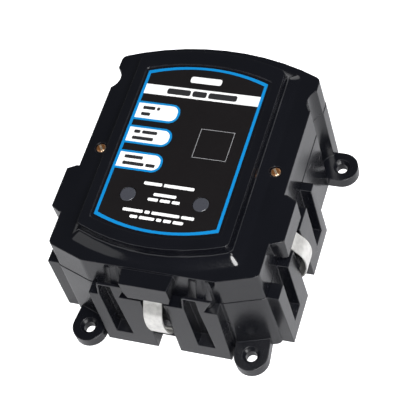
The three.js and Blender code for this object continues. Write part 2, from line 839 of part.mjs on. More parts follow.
const GASKET_INSET = 0.9;
const GASKET_WIDTH = 0.9;
const GASKET_DEPTH = 1.2;

function gasketRing(widen, z0, z1) {
  const outer = toSolid(prism(bodyOutline(GASKET_INSET - widen), z0, z1));
  const inner = toSolid(prism(bodyOutline(GASKET_INSET + GASKET_WIDTH + widen), z0 - 1, z1 + 1));
  const roundOuter = driverChannels(GASKET_WIDTH + GASKET_INSET + widen, z0 - 1, z1 + 1);
  const roundInner = driverChannels(GASKET_INSET - widen, z0 - 2, z1 + 2);
  const ring = cut(outer, [inner]);
  const nose = joined(roundOuter).intersect(outer);
  return cut(ring.add(nose), roundInner);
}

function gasketSeat() {
  return gasketRing(0.15, PARTING_HEIGHT - GASKET_DEPTH, PARTING_HEIGHT + 1);
}

function perimeterGasket() {
  return gasketRing(0, PARTING_HEIGHT - GASKET_DEPTH + 0.05, PARTING_HEIGHT + 0.1);
}

// ---------------------------------------------------------------- inside
const BOARD_TOP = BOARD_Z + BOARD_THICKNESS;

function circuitBoard() {
  const outline = roundedLoop([
    { x: -BOARD_HALF_WIDTH, y: BOARD_LOW_Y, r: 3 },
    { x: BOARD_HALF_WIDTH, y: BOARD_LOW_Y, r: 3 },
    { x: BOARD_HALF_WIDTH, y: -8, r: 2 },
    { x: BOARD_WAIST, y: -6, r: 2 },
    { x: BOARD_WAIST, y: 6, r: 2 },
    { x: BOARD_HALF_WIDTH, y: 8, r: 2 },
    { x: BOARD_HALF_WIDTH, y: BOARD_HIGH_Y, r: 3 },
    { x: -BOARD_HALF_WIDTH, y: BOARD_HIGH_Y, r: 3 },
    { x: -BOARD_HALF_WIDTH, y: 8, r: 2 },
    { x: -BOARD_WAIST, y: 6, r: 2 },
    { x: -BOARD_WAIST, y: -6, r: 2 },
    { x: -BOARD_HALF_WIDTH, y: -8, r: 2 },
  ]);
  const plate = toSolid(prism(outline, BOARD_Z, BOARD_TOP));
  const holes = BOARD_POSTS.map(({ x, y }) => cylinder(1.7, BOARD_Z - 1, BOARD_TOP + 1, x, y, 16));
  return cut(plate, holes);
}

function boardScrew({ x, y }) {
  return turned(
    [
      [0, BOARD_Z - 6],
      [1.2, BOARD_Z - 6],
      [1.2, BOARD_TOP],
      [2.6, BOARD_TOP],
      [2.6, BOARD_TOP + 1],
      [1.8, BOARD_TOP + 1.8],
      [0, BOARD_TOP + 1.8],
    ],
    x,
    y,
    16,
  );
}

const VARISTORS = [
  { name: "line_1_neutral", x: -22, y: 18 },
  { name: "line_2_neutral", x: 22, y: 18 },
  { name: "line_1_ground", x: -22, y: -8 },
  { name: "line_2_ground", x: 22, y: -8 },
];
const VARISTOR_SIZE = 34;
const VARISTOR_THICKNESS = 8;
const PAD_RISE = 21;
const ARM_PIVOT_DROP = 5;
const ARM_TOP = 24;
const ARM_FOOT_RADIUS = 1.4;
const BRACKET_HALF = 6.2;
const BRACKET_INNER = 3.2;

function varistorBlock({ x, y }) {
  const half = VARISTOR_SIZE / 2;
  const outline = roundedLoop([
    { x: x - half, y: BOARD_TOP + 0.1, r: 1.5 },
    { x: x + half, y: BOARD_TOP + 0.1, r: 1.5 },
    { x: x + half, y: BOARD_TOP + VARISTOR_SIZE * 0.9, r: 4 },
    { x: x - half, y: BOARD_TOP + VARISTOR_SIZE * 0.9, r: 4 },
  ]);
  const geometry = new THREE.ExtrudeGeometry(new THREE.Shape(outline), {
    depth: VARISTOR_THICKNESS,
    bevelEnabled: false,
  });
  geometry.rotateX(Math.PI / 2);
  geometry.translate(0, y + VARISTOR_THICKNESS / 2, 0);
  const pad = new THREE.CylinderGeometry(4, 4, 1, 20);
  pad.translate(x, y - VARISTOR_THICKNESS / 2 - 0.2, BOARD_TOP + PAD_RISE);
  return toSolid(geometry).add(toSolid(pad));
}

// Sprung strip that stands on the board in front of its varistor and touches the varistor's pad.
function disconnectArm({ x, y }) {
  const front = y - VARISTOR_THICKNESS / 2 - 0.7 - GAP;
  const strip = box(x - 2.5, x + 2.5, front - 0.8, front, BOARD_TOP + ARM_PIVOT_DROP, BOARD_TOP + ARM_TOP);
  const foot = new THREE.CylinderGeometry(ARM_FOOT_RADIUS, ARM_FOOT_RADIUS, 8, 20);
  foot.rotateZ(Math.PI / 2);
  foot.translate(x, front - 1, BOARD_TOP + ARM_PIVOT_DROP);
  return strip.add(toSolid(foot));
}

function armBracket({ x, y }) {
  const front = y - VARISTOR_THICKNESS / 2 - 0.7 - GAP;
  const height = ARM_PIVOT_DROP + 2.4;
  const cheek = (x0, x1) => box(x0, x1, front - 3.2, front + 0.9, BOARD_TOP, BOARD_TOP + height);
  const floor = box(x - BRACKET_HALF, x + BRACKET_HALF, front - 3.2, front + 0.9, BOARD_TOP, BOARD_TOP + 1.2);
  const pivot = new THREE.CylinderGeometry(ARM_FOOT_RADIUS + GAP, ARM_FOOT_RADIUS + GAP, 10, 20);
  pivot.rotateZ(Math.PI / 2);
  pivot.translate(x, front - 1, BOARD_TOP + ARM_PIVOT_DROP);
  const leftCheek = cheek(x - BRACKET_HALF, x - BRACKET_INNER);
  const rightCheek = cheek(x + BRACKET_INNER, x + BRACKET_HALF);
  const bracket = joined([leftCheek, rightCheek, floor]);
  return cut(bracket, [toSolid(pivot)]);
}

function lineFuse(sign) {
  const geometry = new THREE.LatheGeometry(
    [
      new THREE.Vector2(0, -FUSE_HALF),
      new THREE.Vector2(FUSE_RADIUS, -FUSE_HALF),
      new THREE.Vector2(FUSE_RADIUS, -FUSE_TUBE_HALF),
      new THREE.Vector2(FUSE_TUBE_RADIUS, -FUSE_TUBE_HALF),
      new THREE.Vector2(FUSE_TUBE_RADIUS, FUSE_TUBE_HALF),
      new THREE.Vector2(FUSE_RADIUS, FUSE_TUBE_HALF),
      new THREE.Vector2(FUSE_RADIUS, FUSE_HALF),
      new THREE.Vector2(0, FUSE_HALF),
    ],
    24,
  );
  geometry.rotateZ(Math.PI / 2);
  geometry.translate(sign * FUSE_X, FUSE_Y, BOARD_TOP + FUSE_RISE);
  return toSolid(geometry);
}

function fuseHolder(sign) {
  const x = sign * FUSE_X;
  const axis = BOARD_TOP + FUSE_RISE;
  const base = box(x - HOLDER_HALF, x + HOLDER_HALF, FUSE_Y - 5, FUSE_Y + 5, BOARD_TOP, BOARD_TOP + 1.5);
  const clipAt = (middle) => box(middle - 2.5, middle + 2.5, FUSE_Y - 6, FUSE_Y + 6, BOARD_TOP, axis + 4);
  const bore = new THREE.CylinderGeometry(FUSE_RADIUS + 0.05, FUSE_RADIUS + 0.05, HOLDER_HALF * 4, 24);
  bore.rotateZ(Math.PI / 2);
  bore.translate(x, FUSE_Y, axis);
  const mouth = box(x - HOLDER_HALF * 2, x + HOLDER_HALF * 2, FUSE_Y - 3.6, FUSE_Y + 3.6, axis, axis + 5);
  const clips = [clipAt(x - HOLDER_CLIP_X), clipAt(x + HOLDER_CLIP_X)];
  return cut(joined([base, ...clips]), [toSolid(bore), mouth]);
}

const LEAD_X = [-4.5, -1.5, 1.5, 4.5];
const LEAD_NAMES = ["lead_line_1", "lead_line_2", "lead_neutral", "lead_ground"];
const LEAD_RADIUS = 1.3;
const LEAD_TAIL = 13;

function terminalBlock() {
  const top = BOARD_TOP + TERMINAL_HEIGHT;
  const half = TERMINAL_PITCH * 2 + 1;
  const body = box(-half, half, TERMINAL_Y - 4, TERMINAL_Y + 3.5, BOARD_TOP, top);
  const tools = LEAD_NAMES.map((name, index) => {
    const x = (index - 1.5) * TERMINAL_PITCH;
    return cylinder(2.2, top - 3, top + 1, x, TERMINAL_Y, 16);
  });
  return cut(body, tools);
}

// Lead from the terminal block out through the nipple.
function lead(index) {
  const start = new THREE.Vector3((index - 1.5) * TERMINAL_PITCH, TERMINAL_Y + 3.9, BOARD_TOP + 5);
  const straight = start.clone().add(new THREE.Vector3(0, 3.5, 0));
  const bend = new THREE.Vector3((index - 1.5) * 4.6, TERMINAL_Y + 15, ENTRY_Z);
  const throat = new THREE.Vector3(LEAD_X[index], TOP_Y, ENTRY_Z);
  const tip = new THREE.Vector3(LEAD_X[index] * 1.2, NIPPLE_END_Y + LEAD_TAIL, ENTRY_Z);
  const path = new THREE.CatmullRomCurve3([start, straight, bend, throat, tip]);
  const section = new THREE.Shape();
  section.absarc(0, 0, LEAD_RADIUS, 0, Math.PI * 2);
  const geometry = new THREE.ExtrudeGeometry(section, {
    steps: 16,
    curveSegments: 5,
    extrudePath: path,
    bevelEnabled: false,
  });
  return toSolid(geometry);
}

function aboutEntry(geometry) {
  geometry.translate(0, 0, ENTRY_Z);
  return toSolid(geometry);
}

function ringAlongY(profile, segments = 32) {
  const points = profile.map(([radius, y]) => new THREE.Vector2(radius, y));
  return aboutEntry(new THREE.LatheGeometry(points, segments));
}

function conduitNipple() {
  const inside = TOP_Y - WALL - 2.5;
  return ringAlongY([
    [NIPPLE_BORE, inside - 3],
    [NIPPLE_RADIUS + 3, inside - 3],
    [NIPPLE_RADIUS + 3, inside],
    [NIPPLE_RADIUS, inside],
    [NIPPLE_RADIUS, NIPPLE_END_Y - 1],
    [NIPPLE_RADIUS - 0.8, NIPPLE_END_Y],
    [NIPPLE_BORE, NIPPLE_END_Y],
    [NIPPLE_BORE, inside - 3],
  ]);
}

const ENTRY_FACE_Y = TOP_Y + BASE_DRAFT_FOOT + 0.2;
const LOCKNUT_RADIUS = 14;
const LOCKNUT_THICKNESS = 4;
const SEAL_THICKNESS = 1.6;

function nippleSeal() {
  return ringAlongY([
    [NIPPLE_RADIUS + 0.2, ENTRY_FACE_Y],
    [NIPPLE_RADIUS + 2.6, ENTRY_FACE_Y],
    [NIPPLE_RADIUS + 2.6, ENTRY_FACE_Y + SEAL_THICKNESS],
    [NIPPLE_RADIUS + 0.2, ENTRY_FACE_Y + SEAL_THICKNESS],
    [NIPPLE_RADIUS + 0.2, ENTRY_FACE_Y],
  ]);
}

function nippleLocknut() {
  const y0 = ENTRY_FACE_Y + 2;
  const y1 = y0 + LOCKNUT_THICKNESS;
  const blank = new THREE.CylinderGeometry(LOCKNUT_RADIUS, LOCKNUT_RADIUS, y1 - y0, 6);
  blank.translate(0, (y0 + y1) / 2, 0);
  const bore = new THREE.CylinderGeometry(NIPPLE_RADIUS + GAP, NIPPLE_RADIUS + GAP, 20, 32);
  bore.translate(0, y0, 0);
  return cut(aboutEntry(blank), [aboutEntry(bore)]);
}

function statusLamp(sign) {
  return turned(
    [
      [0, BOARD_TOP],
      [2.5, BOARD_TOP],
      [2.5, BOARD_TOP + 5],
      [1.6, BOARD_TOP + 7],
      [0, BOARD_TOP + 7.6],
    ],
    sign * LENS_X,
    LENS_Y,
    20,
  );
}

function lightPipe(sign) {
  const top = TOTAL_HEIGHT - LABEL_RECESS_DEPTH + LABEL_THICKNESS - 2.8;
  return turned(
    [
      [0, BOARD_TOP + 9],
      [2.2, BOARD_TOP + 9],
      [2.2, top - 2],
      [3.6, top - 1],
      [3.6, top],
      [0, top],
    ],
    sign * LENS_X,
    LENS_Y,
    20,
  );
}

// Shallow recess in the back, clear of the middle, for the rating plate.
const RATING_HALF_WIDTH = 25;
const RATING_BOTTOM_Y = 10;
const RATING_TOP_Y = 48;
const RATING_DEPTH = 0.6;

function ratingRecess() {
  return box(-RATING_HALF_WIDTH, RATING_HALF_WIDTH, RATING_BOTTOM_Y, RATING_TOP_Y, -1, RATING_DEPTH);
}

function ratingPlate() {
  const half = RATING_HALF_WIDTH - GAP;
  return box(-half, half, RATING_BOTTOM_Y + GAP, RATING_TOP_Y - GAP, 0.2, RATING_DEPTH);
}

// ---------------------------------------------------------------- materials and the object
const FINISH = {
  casing: { color: 0x16161a, roughness: 0.28, metalness: 0 },
  label: { color: 0x201e1f, roughness: 0.4, metalness: 0 },
  lens: { color: 0x4d4d55, roughness: 0.15, metalness: 0 },
  brass: { color: 0xb5793a, roughness: 0.3, metalness: 1 },
  clip: { color: 0xcecdc8, roughness: 0.3, metalness: 1 },
  rubber: { color: 0x1a1a1a, roughness: 0.9, metalness: 0 },
  board: { color: 0x1f5a33, roughness: 0.5, metalness: 0 },
  varistor: { color: 0x2f55a0, roughness: 0.6, metalness: 0 },
  tinned: { color: 0xb9b9b4, roughness: 0.3, metalness: 1 },
  fuse: { color: 0xd8d2c4, roughness: 0.4, metalness: 0 },
  zinc: { color: 0x9a9da0, roughness: 0.35, metalness: 1 },
  lamp: { color: 0x2ecf62, roughness: 0.2, metalness: 0 },
  clear: { color: 0xdfe6e8, roughness: 0.08, metalness: 0 },
  wireBlack: { color: 0x111111, roughness: 0.45, metalness: 0 },
  wireWhite: { color: 0xe9e9e4, roughness: 0.45, metalness: 0 },
  wireGreen: { color: 0x1d7a3a, roughness: 0.45, metalness: 0 },
  plate: { color: 0xb8bbc0, roughness: 0.4, metalness: 0 },
};

const object = new THREE.Group();

function addPiece(name, solid, finish) {
  const mesh = new THREE.Mesh(toGeometry(solid), new THREE.MeshStandardMaterial(FINISH[finish]));
  mesh.name = name;
  object.add(mesh);
}

addPiece("base_housing", baseHousing(), "casing");
addPiece("cover_shell", coverShell(), "casing");
addPiece("perimeter_gasket", perimeterGasket(), "rubber");
addPiece("label_plate", labelPlate(), "label");
LATCH_SIDES.forEach((side) => addPiece(`latch_clip_${side.name}`, latchClip(side), "clip"));
[["left", -1], ["right", 1]].forEach(([name, sign]) => {
  const seat = RIM_HEIGHT - SCREW_RECESS_DEPTH;
  addPiece(`status_lens_${name}`, statusLens(sign), "lens");
  addPiece(`light_pipe_${name}`, lightPipe(sign), "clear");
  addPiece(`status_lamp_${name}`, statusLamp(sign), "lamp");
  addPiece(`cover_screw_${name}`, coverScrew(sign), "brass");
  addPiece(
    `screw_seal_${name}`,
    sealRing(sign * SCREW_X, 0, SCREW_SHANK_RADIUS + 0.25, SCREW_HEAD_RADIUS - 0.1, seat, seat + 0.65),
    "rubber",
  );
  addPiece(`threaded_insert_${name}`, threadedInsert(sign), "brass");
  addPiece(`line_fuse_${name}`, lineFuse(sign), "fuse");
  addPiece(`fuse_holder_${name}`, fuseHolder(sign), "tinned");
});
addPiece("circuit_board", circuitBoard(), "board");
BOARD_POSTS.forEach((place, index) => addPiece(`board_screw_${index + 1}`, boardScrew(place), "zinc"));
VARISTORS.forEach((place) => {
  addPiece(`varistor_${place.name}`, varistorBlock(place), "varistor");
  addPiece(`disconnect_arm_${place.name}`, disconnectArm(place), "tinned");
  addPiece(`arm_bracket_${place.name}`, armBracket(place), "zinc");
});
addPiece("terminal_block", terminalBlock(), "casing");
LEAD_NAMES.forEach((name, index) => {
  addPiece(name, lead(index), ["wireBlack", "wireBlack", "wireWhite", "wireGreen"][index]);
});
addPiece("conduit_nipple", conduitNipple(), "zinc");
addPiece("nipple_seal", nippleSeal(), "rubber");
addPiece("nipple_locknut", nippleLocknut(), "zinc");
addPiece("rating_plate", ratingPlate(), "plate");

export default object;
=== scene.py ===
import json
import math

import bmesh
import bpy
from mathutils import Matrix, Vector


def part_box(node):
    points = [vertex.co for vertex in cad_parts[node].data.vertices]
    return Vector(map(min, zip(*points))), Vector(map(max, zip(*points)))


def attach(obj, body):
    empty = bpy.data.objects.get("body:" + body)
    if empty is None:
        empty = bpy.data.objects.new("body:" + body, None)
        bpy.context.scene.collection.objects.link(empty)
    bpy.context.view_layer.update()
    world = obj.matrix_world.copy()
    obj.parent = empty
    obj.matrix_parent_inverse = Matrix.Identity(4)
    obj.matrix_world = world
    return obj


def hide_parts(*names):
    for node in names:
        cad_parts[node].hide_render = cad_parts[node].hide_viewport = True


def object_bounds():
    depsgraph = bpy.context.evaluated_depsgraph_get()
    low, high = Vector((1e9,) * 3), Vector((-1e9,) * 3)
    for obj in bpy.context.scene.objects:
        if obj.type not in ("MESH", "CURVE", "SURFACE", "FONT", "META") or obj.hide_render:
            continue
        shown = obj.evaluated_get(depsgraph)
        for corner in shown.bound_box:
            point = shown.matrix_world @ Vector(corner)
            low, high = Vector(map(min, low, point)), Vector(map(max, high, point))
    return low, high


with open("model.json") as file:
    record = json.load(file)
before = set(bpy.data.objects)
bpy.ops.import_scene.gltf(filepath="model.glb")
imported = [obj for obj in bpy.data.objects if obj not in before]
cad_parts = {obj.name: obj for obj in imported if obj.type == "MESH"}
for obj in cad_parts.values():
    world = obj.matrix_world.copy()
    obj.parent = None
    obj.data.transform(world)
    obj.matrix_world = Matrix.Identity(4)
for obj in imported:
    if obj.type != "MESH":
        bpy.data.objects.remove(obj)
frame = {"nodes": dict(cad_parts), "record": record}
cad_low, cad_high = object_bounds()
NODES = frame["nodes"]

# Lengths below are in millimetres, and MM turns them into metres.
MM = 0.001


# ---------------------------------------------------------------- node materials
class Graph:
    """A material's node tree, with short calls to add and join nodes."""

    def __init__(self, name):
        self.material = bpy.data.materials.new(name)
        self.material.use_nodes = True
        self.tree = self.material.node_tree
        self.shader = self.tree.nodes["Principled BSDF"]
        coordinates = self.tree.nodes.new("ShaderNodeTexCoord")
        scaled = self.tree.nodes.new("ShaderNodeVectorMath")
        scaled.operation = "SCALE"
        scaled.inputs["Scale"].default_value = 1 / MM
        self.join(coordinates.outputs["Object"], scaled.inputs[0])
        self.millimetres = scaled.outputs[0]

    def join(self, source, target):
        self.tree.links.new(source, target)

    def put(self, value, target):
        if isinstance(value, bpy.types.NodeSocket):
            self.join(value, target)
        else:
            target.default_value = value

    def stretched(self, stretch):
        node = self.tree.nodes.new("ShaderNodeVectorMath")
        node.operation = "MULTIPLY"
        self.join(self.millimetres, node.inputs[0])
        node.inputs[1].default_value = stretch
        return node.outputs[0]

    def noise(self, scale, detail=3.0, stretch=(1, 1, 1)):
        node = self.tree.nodes.new("ShaderNodeTexNoise")
        self.join(self.stretched(stretch), node.inputs["Vector"])
        node.inputs["Scale"].default_value = scale
        node.inputs["Detail"].default_value = detail
        return node.outputs["Fac"]

    def cells(self, scale):
        node = self.tree.nodes.new("ShaderNodeTexVoronoi")
        self.join(self.millimetres, node.inputs["Vector"])
        node.inputs["Scale"].default_value = scale
        return node.outputs["Distance"]

    def remap(self, value, low, high, to_low, to_high):
        node = self.tree.nodes.new("ShaderNodeMapRange")
        self.put(value, node.inputs["Value"])
        node.inputs["From Min"].default_value = low
        node.inputs["From Max"].default_value = high
        node.inputs["To Min"].default_value = to_low
        node.inputs["To Max"].default_value = to_high
        return node.outputs["Result"]

    def math(self, operation, first, second=0.0):
        node = self.tree.nodes.new("ShaderNodeMath")
        node.operation = operation
        self.put(first, node.inputs[0])
        self.put(second, node.inputs[1])
        return node.outputs[0]

    def blend(self, share, first, second):
        node = self.tree.nodes.new("ShaderNodeMix")
        node.data_type = "RGBA"
        self.put(share, node.inputs["Factor"])
        self.put(first, node.inputs["A"])
        self.put(second, node.inputs["B"])
        return node.outputs["Result"]

    def axis(self, name):
        node = self.tree.nodes.new("ShaderNodeSeparateXYZ")
        self.join(self.millimetres, node.inputs[0])
        return node.outputs[name]

    def bump(self, height, depth, normal=None):
        """Height from 0 to 1 raises the surface by depth millimetres."""
        node = self.tree.nodes.new("ShaderNodeBump")
        self.put(height, node.inputs["Height"])
        node.inputs["Distance"].default_value = depth * MM
        if normal is not None:
            self.join(normal, node.inputs["Normal"])
        return node.outputs["Normal"]

    def rounded(self, radius):
        """A normal that turns smoothly over edges, as if they were rounded."""
        node = self.tree.nodes.new("ShaderNodeBevel")
        node.samples = 6
        node.inputs["Radius"].default_value = radius * MM
        return node.outputs["Normal"]

    def edges(self, radius):
        """About 0 on flats and up to 1 on edges of the given radius."""
        plain = self.tree.nodes.new("ShaderNodeNewGeometry")
        dot = self.tree.nodes.new("ShaderNodeVectorMath")
        dot.operation = "DOT_PRODUCT"
        self.join(self.rounded(radius), dot.inputs[0])
        self.join(plain.outputs["Normal"], dot.inputs[1])
        return self.remap(dot.outputs["Value"], 1.0, 0.75, 0.0, 1.0)

    def openness(self, reach):
        """1 in the open and near 0 deep in a slot of about the given reach."""
        node = self.tree.nodes.new("ShaderNodeAmbientOcclusion")
        node.samples = 6
        node.inputs["Distance"].default_value = reach * MM
        return node.outputs["AO"]

    def finish(self, colour, roughness, metallic=0.0, normal=None, **extra):
        inputs = self.shader.inputs
        self.put(colour, inputs["Base Color"])
        self.put(roughness, inputs["Roughness"])
        self.put(metallic, inputs["Metallic"])
        if normal is not None:
            self.join(normal, inputs["Normal"])
        for key, value in extra.items():
            self.put(value, inputs[key.replace("_", " ")])
        return self.material


def rgb(red, green, blue):
    return (red, green, blue, 1.0)


# Height up to which the casing's walls are satin, and the height over which that fades below it.
WALL_SATIN_TOP = 66.0
WALL_SATIN_FADE = 3.0
# Radius to which shading alone rounds the casing's edges; its mesh keeps them almost sharp.
CASING_SHADED_RADIUS = 0.8
# Depth of slot over which the casing's reflections are turned down, as painted shade in slots and
# hollows.
CASING_SLOT_REACH = 14.0


def casing_material():
    """Gloss black moulding with satin walls: clouding, orange peel, haze and rubbed edges."""
    graph = Graph("casing")
    cloud = graph.noise(0.045, 3.0, (1.0, 0.6, 1.6))
    haze = graph.noise(0.9, 5.0)
    scratches = graph.remap(graph.noise(0.8, 6.0, (6.0, 0.25, 1.0)), 0.62, 0.72, 0.0, 1.0)
    wear = graph.math("MULTIPLY", graph.edges(0.7), graph.noise(0.5, 4.0))
    colour = graph.blend(cloud, rgb(0.0036, 0.0039, 0.0057), rgb(0.0062, 0.0066, 0.0092))
    colour = graph.blend(wear, colour, rgb(0.05, 0.05, 0.056))
    satin = graph.remap(graph.axis("Z"), WALL_SATIN_TOP - WALL_SATIN_FADE, WALL_SATIN_TOP, 0.1, 0.0)
    roughness = graph.math("ADD", graph.remap(cloud, 0.3, 0.7, 0.08, 0.15), satin)
    roughness = graph.math("ADD", roughness, graph.remap(haze, 0.45, 0.8, 0.0, 0.06))
    roughness = graph.math("ADD", roughness, graph.math("MULTIPLY", scratches, 0.06))
    # Painted shade: the shine is turned down where ambient occlusion finds slots and hollows.
    painted_slot_shade = graph.remap(graph.openness(CASING_SLOT_REACH), 0.1, 0.6, 0.26, 0.5)
    peel = graph.bump(graph.noise(0.3, 2.0), 0.016, graph.rounded(CASING_SHADED_RADIUS))
    grain = graph.bump(graph.noise(4.0, 2.0), 0.0012, peel)
    return graph.finish(colour, roughness, normal=grain, Specular_IOR_Level=painted_slot_shade)


def plain_plastic(name, dark, light, roughness):
    """A moulded plastic with soft colour drift, a fine grain and edges toned towards one shade."""
    graph = Graph(name)
    drift = graph.noise(0.12, 3.0)
    colour = graph.blend(drift, dark, light)
    edge_tone = graph.math("MULTIPLY", graph.edges(0.35), 0.35)
    colour = graph.blend(edge_tone, colour, tuple(0.75 * part for part in light[:3]) + (1.0,))
    rough = graph.remap(graph.noise(1.1, 4.0), 0.3, 0.7, roughness - 0.05, roughness + 0.07)
    normal = graph.bump(graph.noise(2.5, 3.0), 0.004)
    return graph.finish(colour, rough, normal=normal)


def label_material():
    """Printed polyester film: charcoal ink with a faint dot grain under a satin face."""
    graph = Graph("label_film")
    dots = graph.cells(3.2)
    drift = graph.noise(0.05, 2.0)
    colour = graph.blend(drift, rgb(0.0065, 0.0056, 0.006), rgb(0.009, 0.0078, 0.0083))
    colour = graph.blend(graph.remap(dots, 0.0, 0.6, 0.12, 0.0), colour, rgb(0.022, 0.02, 0.022))
    rough = graph.remap(graph.noise(0.6, 4.0), 0.3, 0.7, 0.28, 0.36)
    normal = graph.bump(graph.noise(1.4, 2.0), 0.002)
    return graph.finish(colour, rough, normal=normal, Specular_IOR_Level=0.33)


def ink_material(name, colour):
    """Screen-printed ink with slightly uneven cover."""
    graph = Graph(name)
    thin = tuple(0.9 * part for part in colour[:3]) + (1.0,)
    shade = graph.blend(graph.noise(1.8, 4.0), thin, colour)
    rough = graph.remap(graph.noise(0.9, 3.0), 0.3, 0.7, 0.36, 0.48)
    return graph.finish(shade, rough, normal=graph.bump(graph.noise(5.0, 2.0), 0.003))


def metal_material(name, dark, light, roughness, brush=(1, 1, 1), spangle=0.0, **extra):
    """Metal with brush lines or plating spangle, tarnish in patches and bright edges."""
    graph = Graph(name)
    lines = graph.noise(2.2, 5.0, brush)
    tarnish = graph.remap(graph.noise(0.35, 4.0), 0.4, 0.7, 0.0, 0.6)
    colour = graph.blend(lines, dark, light)
    colour = graph.blend(tarnish, colour, tuple(0.72 * part for part in dark[:3]) + (1.0,))
    colour = graph.blend(graph.math("MULTIPLY", graph.edges(0.25), 0.6), colour, light)
    rough = graph.remap(lines, 0.3, 0.7, roughness - 0.07, roughness + 0.1)
    if spangle:
        rough = graph.math("ADD", rough, graph.math("MULTIPLY", graph.cells(0.8), spangle))
    return graph.finish(colour, rough, 1.0, graph.bump(lines, 0.004), **extra)


def screw_material():
    """Brass: copper-toned flats, with painted pale highlights on the rims and inside the slot."""
    graph = Graph("screw_brass")
    lines = graph.noise(2.2, 5.0, (1, 6, 1))
    flats = graph.blend(lines, rgb(0.46, 0.17, 0.05), rgb(0.68, 0.3, 0.1))
    # Painted highlight: pale colour along the rims' edges.
    edge_tone = graph.math("MULTIPLY", graph.edges(0.5), 0.95)
    # Painted highlight: pale colour inside the slot, found by ambient occlusion.
    slot = graph.remap(graph.openness(1.2), 0.5, 0.85, 1.0, 0.0)
    painted_highlight = graph.math("MAXIMUM", edge_tone, slot)
    colour = graph.blend(painted_highlight, flats, rgb(1.0, 0.9, 0.72))
    rough = graph.remap(lines, 0.3, 0.7, 0.22, 0.34)
    return graph.finish(colour, rough, 0.85, graph.bump(lines, 0.004))


def rubber_material():
    graph = Graph("seal_rubber")
    bloom = graph.remap(graph.noise(1.5, 5.0), 0.45, 0.75, 0.0, 0.5)
    colour = graph.blend(bloom, rgb(0.014, 0.014, 0.014), rgb(0.035, 0.035, 0.034))
    return graph.finish(colour, 0.82, normal=graph.bump(graph.noise(5.0, 4.0), 0.01))


def lens_material():
    """Smoked grey lens, drawn opaque, with an uneven frosted tone under a thin coat."""
    graph = Graph("lens")
    frost = graph.noise(2.6, 5.0)
    colour = graph.blend(frost, rgb(0.035, 0.037, 0.046), rgb(0.065, 0.067, 0.08))
    rough = graph.remap(frost, 0.3, 0.7, 0.22, 0.34)
    return graph.finish(colour, rough, normal=graph.bump(frost, 0.006), Coat_Weight=0.35)


def clear_material():
    graph = Graph("clear_plastic")
    colour = graph.blend(graph.noise(0.8, 3.0), rgb(0.86, 0.9, 0.92), rgb(0.93, 0.95, 0.96))
    rough = graph.remap(graph.noise(2.0, 4.0), 0.3, 0.7, 0.03, 0.1)
    return graph.finish(colour, rough, normal=graph.bump(graph.noise(0.9, 2.0), 0.004),
                        Transmission_Weight=0.75, IOR=1.49)


def board_material():
    """Green solder mask over copper: lighter tracks in a square-cornered pattern."""
    graph = Graph("board")
    tracks = graph.tree.nodes.new("ShaderNodeTexBrick")
    graph.join(graph.stretched((0.11, 0.07, 0.1)), tracks.inputs["Vector"])
    tracks.inputs["Scale"].default_value = 1.0
    tracks.inputs["Mortar Size"].default_value = 0.05
    tracks.inputs["Mortar Smooth"].default_value = 0.1
    copper = tracks.outputs["Fac"]
    mask = graph.blend(graph.noise(0.3, 3.0), rgb(0.008, 0.07, 0.026), rgb(0.012, 0.1, 0.04))
    colour = graph.blend(copper, mask, rgb(0.03, 0.2, 0.07))
    normal = graph.bump(copper, 0.035)
    rough = graph.remap(graph.noise(1.5, 3.0), 0.3, 0.7, 0.28, 0.4)
    return graph.finish(colour, rough, normal=normal)


def varistor_material():
    """Dipped blue epoxy: slightly lumpy, with darker thin spots."""
    graph = Graph("varistor_epoxy")
    lumps = graph.noise(0.35, 3.0)
    colour = graph.blend(lumps, rgb(0.012, 0.045, 0.2), rgb(0.022, 0.085, 0.33))
    thin = graph.remap(graph.cells(0.9), 0.0, 0.25, 0.35, 0.0)
    colour = graph.blend(thin, colour, rgb(0.01, 0.03, 0.12))
    normal = graph.bump(graph.noise(1.6, 3.0), 0.03, graph.bump(lumps, 0.12))
    return graph.finish(colour, graph.remap(lumps, 0.3, 0.7, 0.3, 0.45), normal=normal)


def fuse_material():
    """Ceramic tube with plated end caps, told apart by the distance from the fuse's middle."""
    low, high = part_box("line_fuse_right")
    middle = (low.x + high.x) / 2 / MM
    cap_start = 0.56 * (high.x - low.x) / 2 / MM
    graph = Graph("fuse_body")
    along = graph.math("ABSOLUTE", graph.axis("X"))
    off = graph.math("ABSOLUTE", graph.math("SUBTRACT", along, middle))
    cap = graph.math("GREATER_THAN", off, cap_start)
    speckle = graph.noise(3.0, 4.0)
    tube = graph.blend(speckle, rgb(0.62, 0.58, 0.5), rgb(0.76, 0.73, 0.66))
    plated = graph.blend(speckle, rgb(0.5, 0.49, 0.46), rgb(0.68, 0.67, 0.63))
    colour = graph.blend(cap, tube, plated)
    rough = graph.math("SUBTRACT", 0.48, graph.math("MULTIPLY", cap, 0.22))
    return graph.finish(colour, rough, cap, graph.bump(speckle, 0.01))


def lamp_material():
    graph = Graph("lamp")
    glow = graph.noise(1.2, 3.0)
    colour = graph.blend(glow, rgb(0.03, 0.32, 0.08), rgb(0.06, 0.5, 0.14))
    rough = graph.remap(glow, 0.3, 0.7, 0.1, 0.2)
    return graph.finish(colour, rough, normal=graph.bump(glow, 0.01), Transmission_Weight=0.3)


def wire_material(name, dark, light):
    """PVC insulation with the faint drag lines of extrusion."""
    graph = Graph(name)
    drag = graph.noise(1.6, 4.0, (3.0, 0.12, 3.0))
    colour = graph.blend(drag, dark, light)
    rough = graph.remap(graph.noise(1.2, 4.0), 0.3, 0.7, 0.34, 0.5)
    return graph.finish(colour, rough, normal=graph.bump(drag, 0.01))


def foil_material():
    """Brushed foil plate."""
    graph = Graph("rating_foil")
    brushed = graph.noise(1.5, 6.0, (0.05, 4.0, 1.0))
    colour = graph.blend(brushed, rgb(0.42, 0.43, 0.45), rgb(0.62, 0.63, 0.65))
    rough = graph.remap(brushed, 0.3, 0.7, 0.28, 0.42)
    return graph.finish(colour, rough, 0.9, graph.bump(brushed, 0.004))


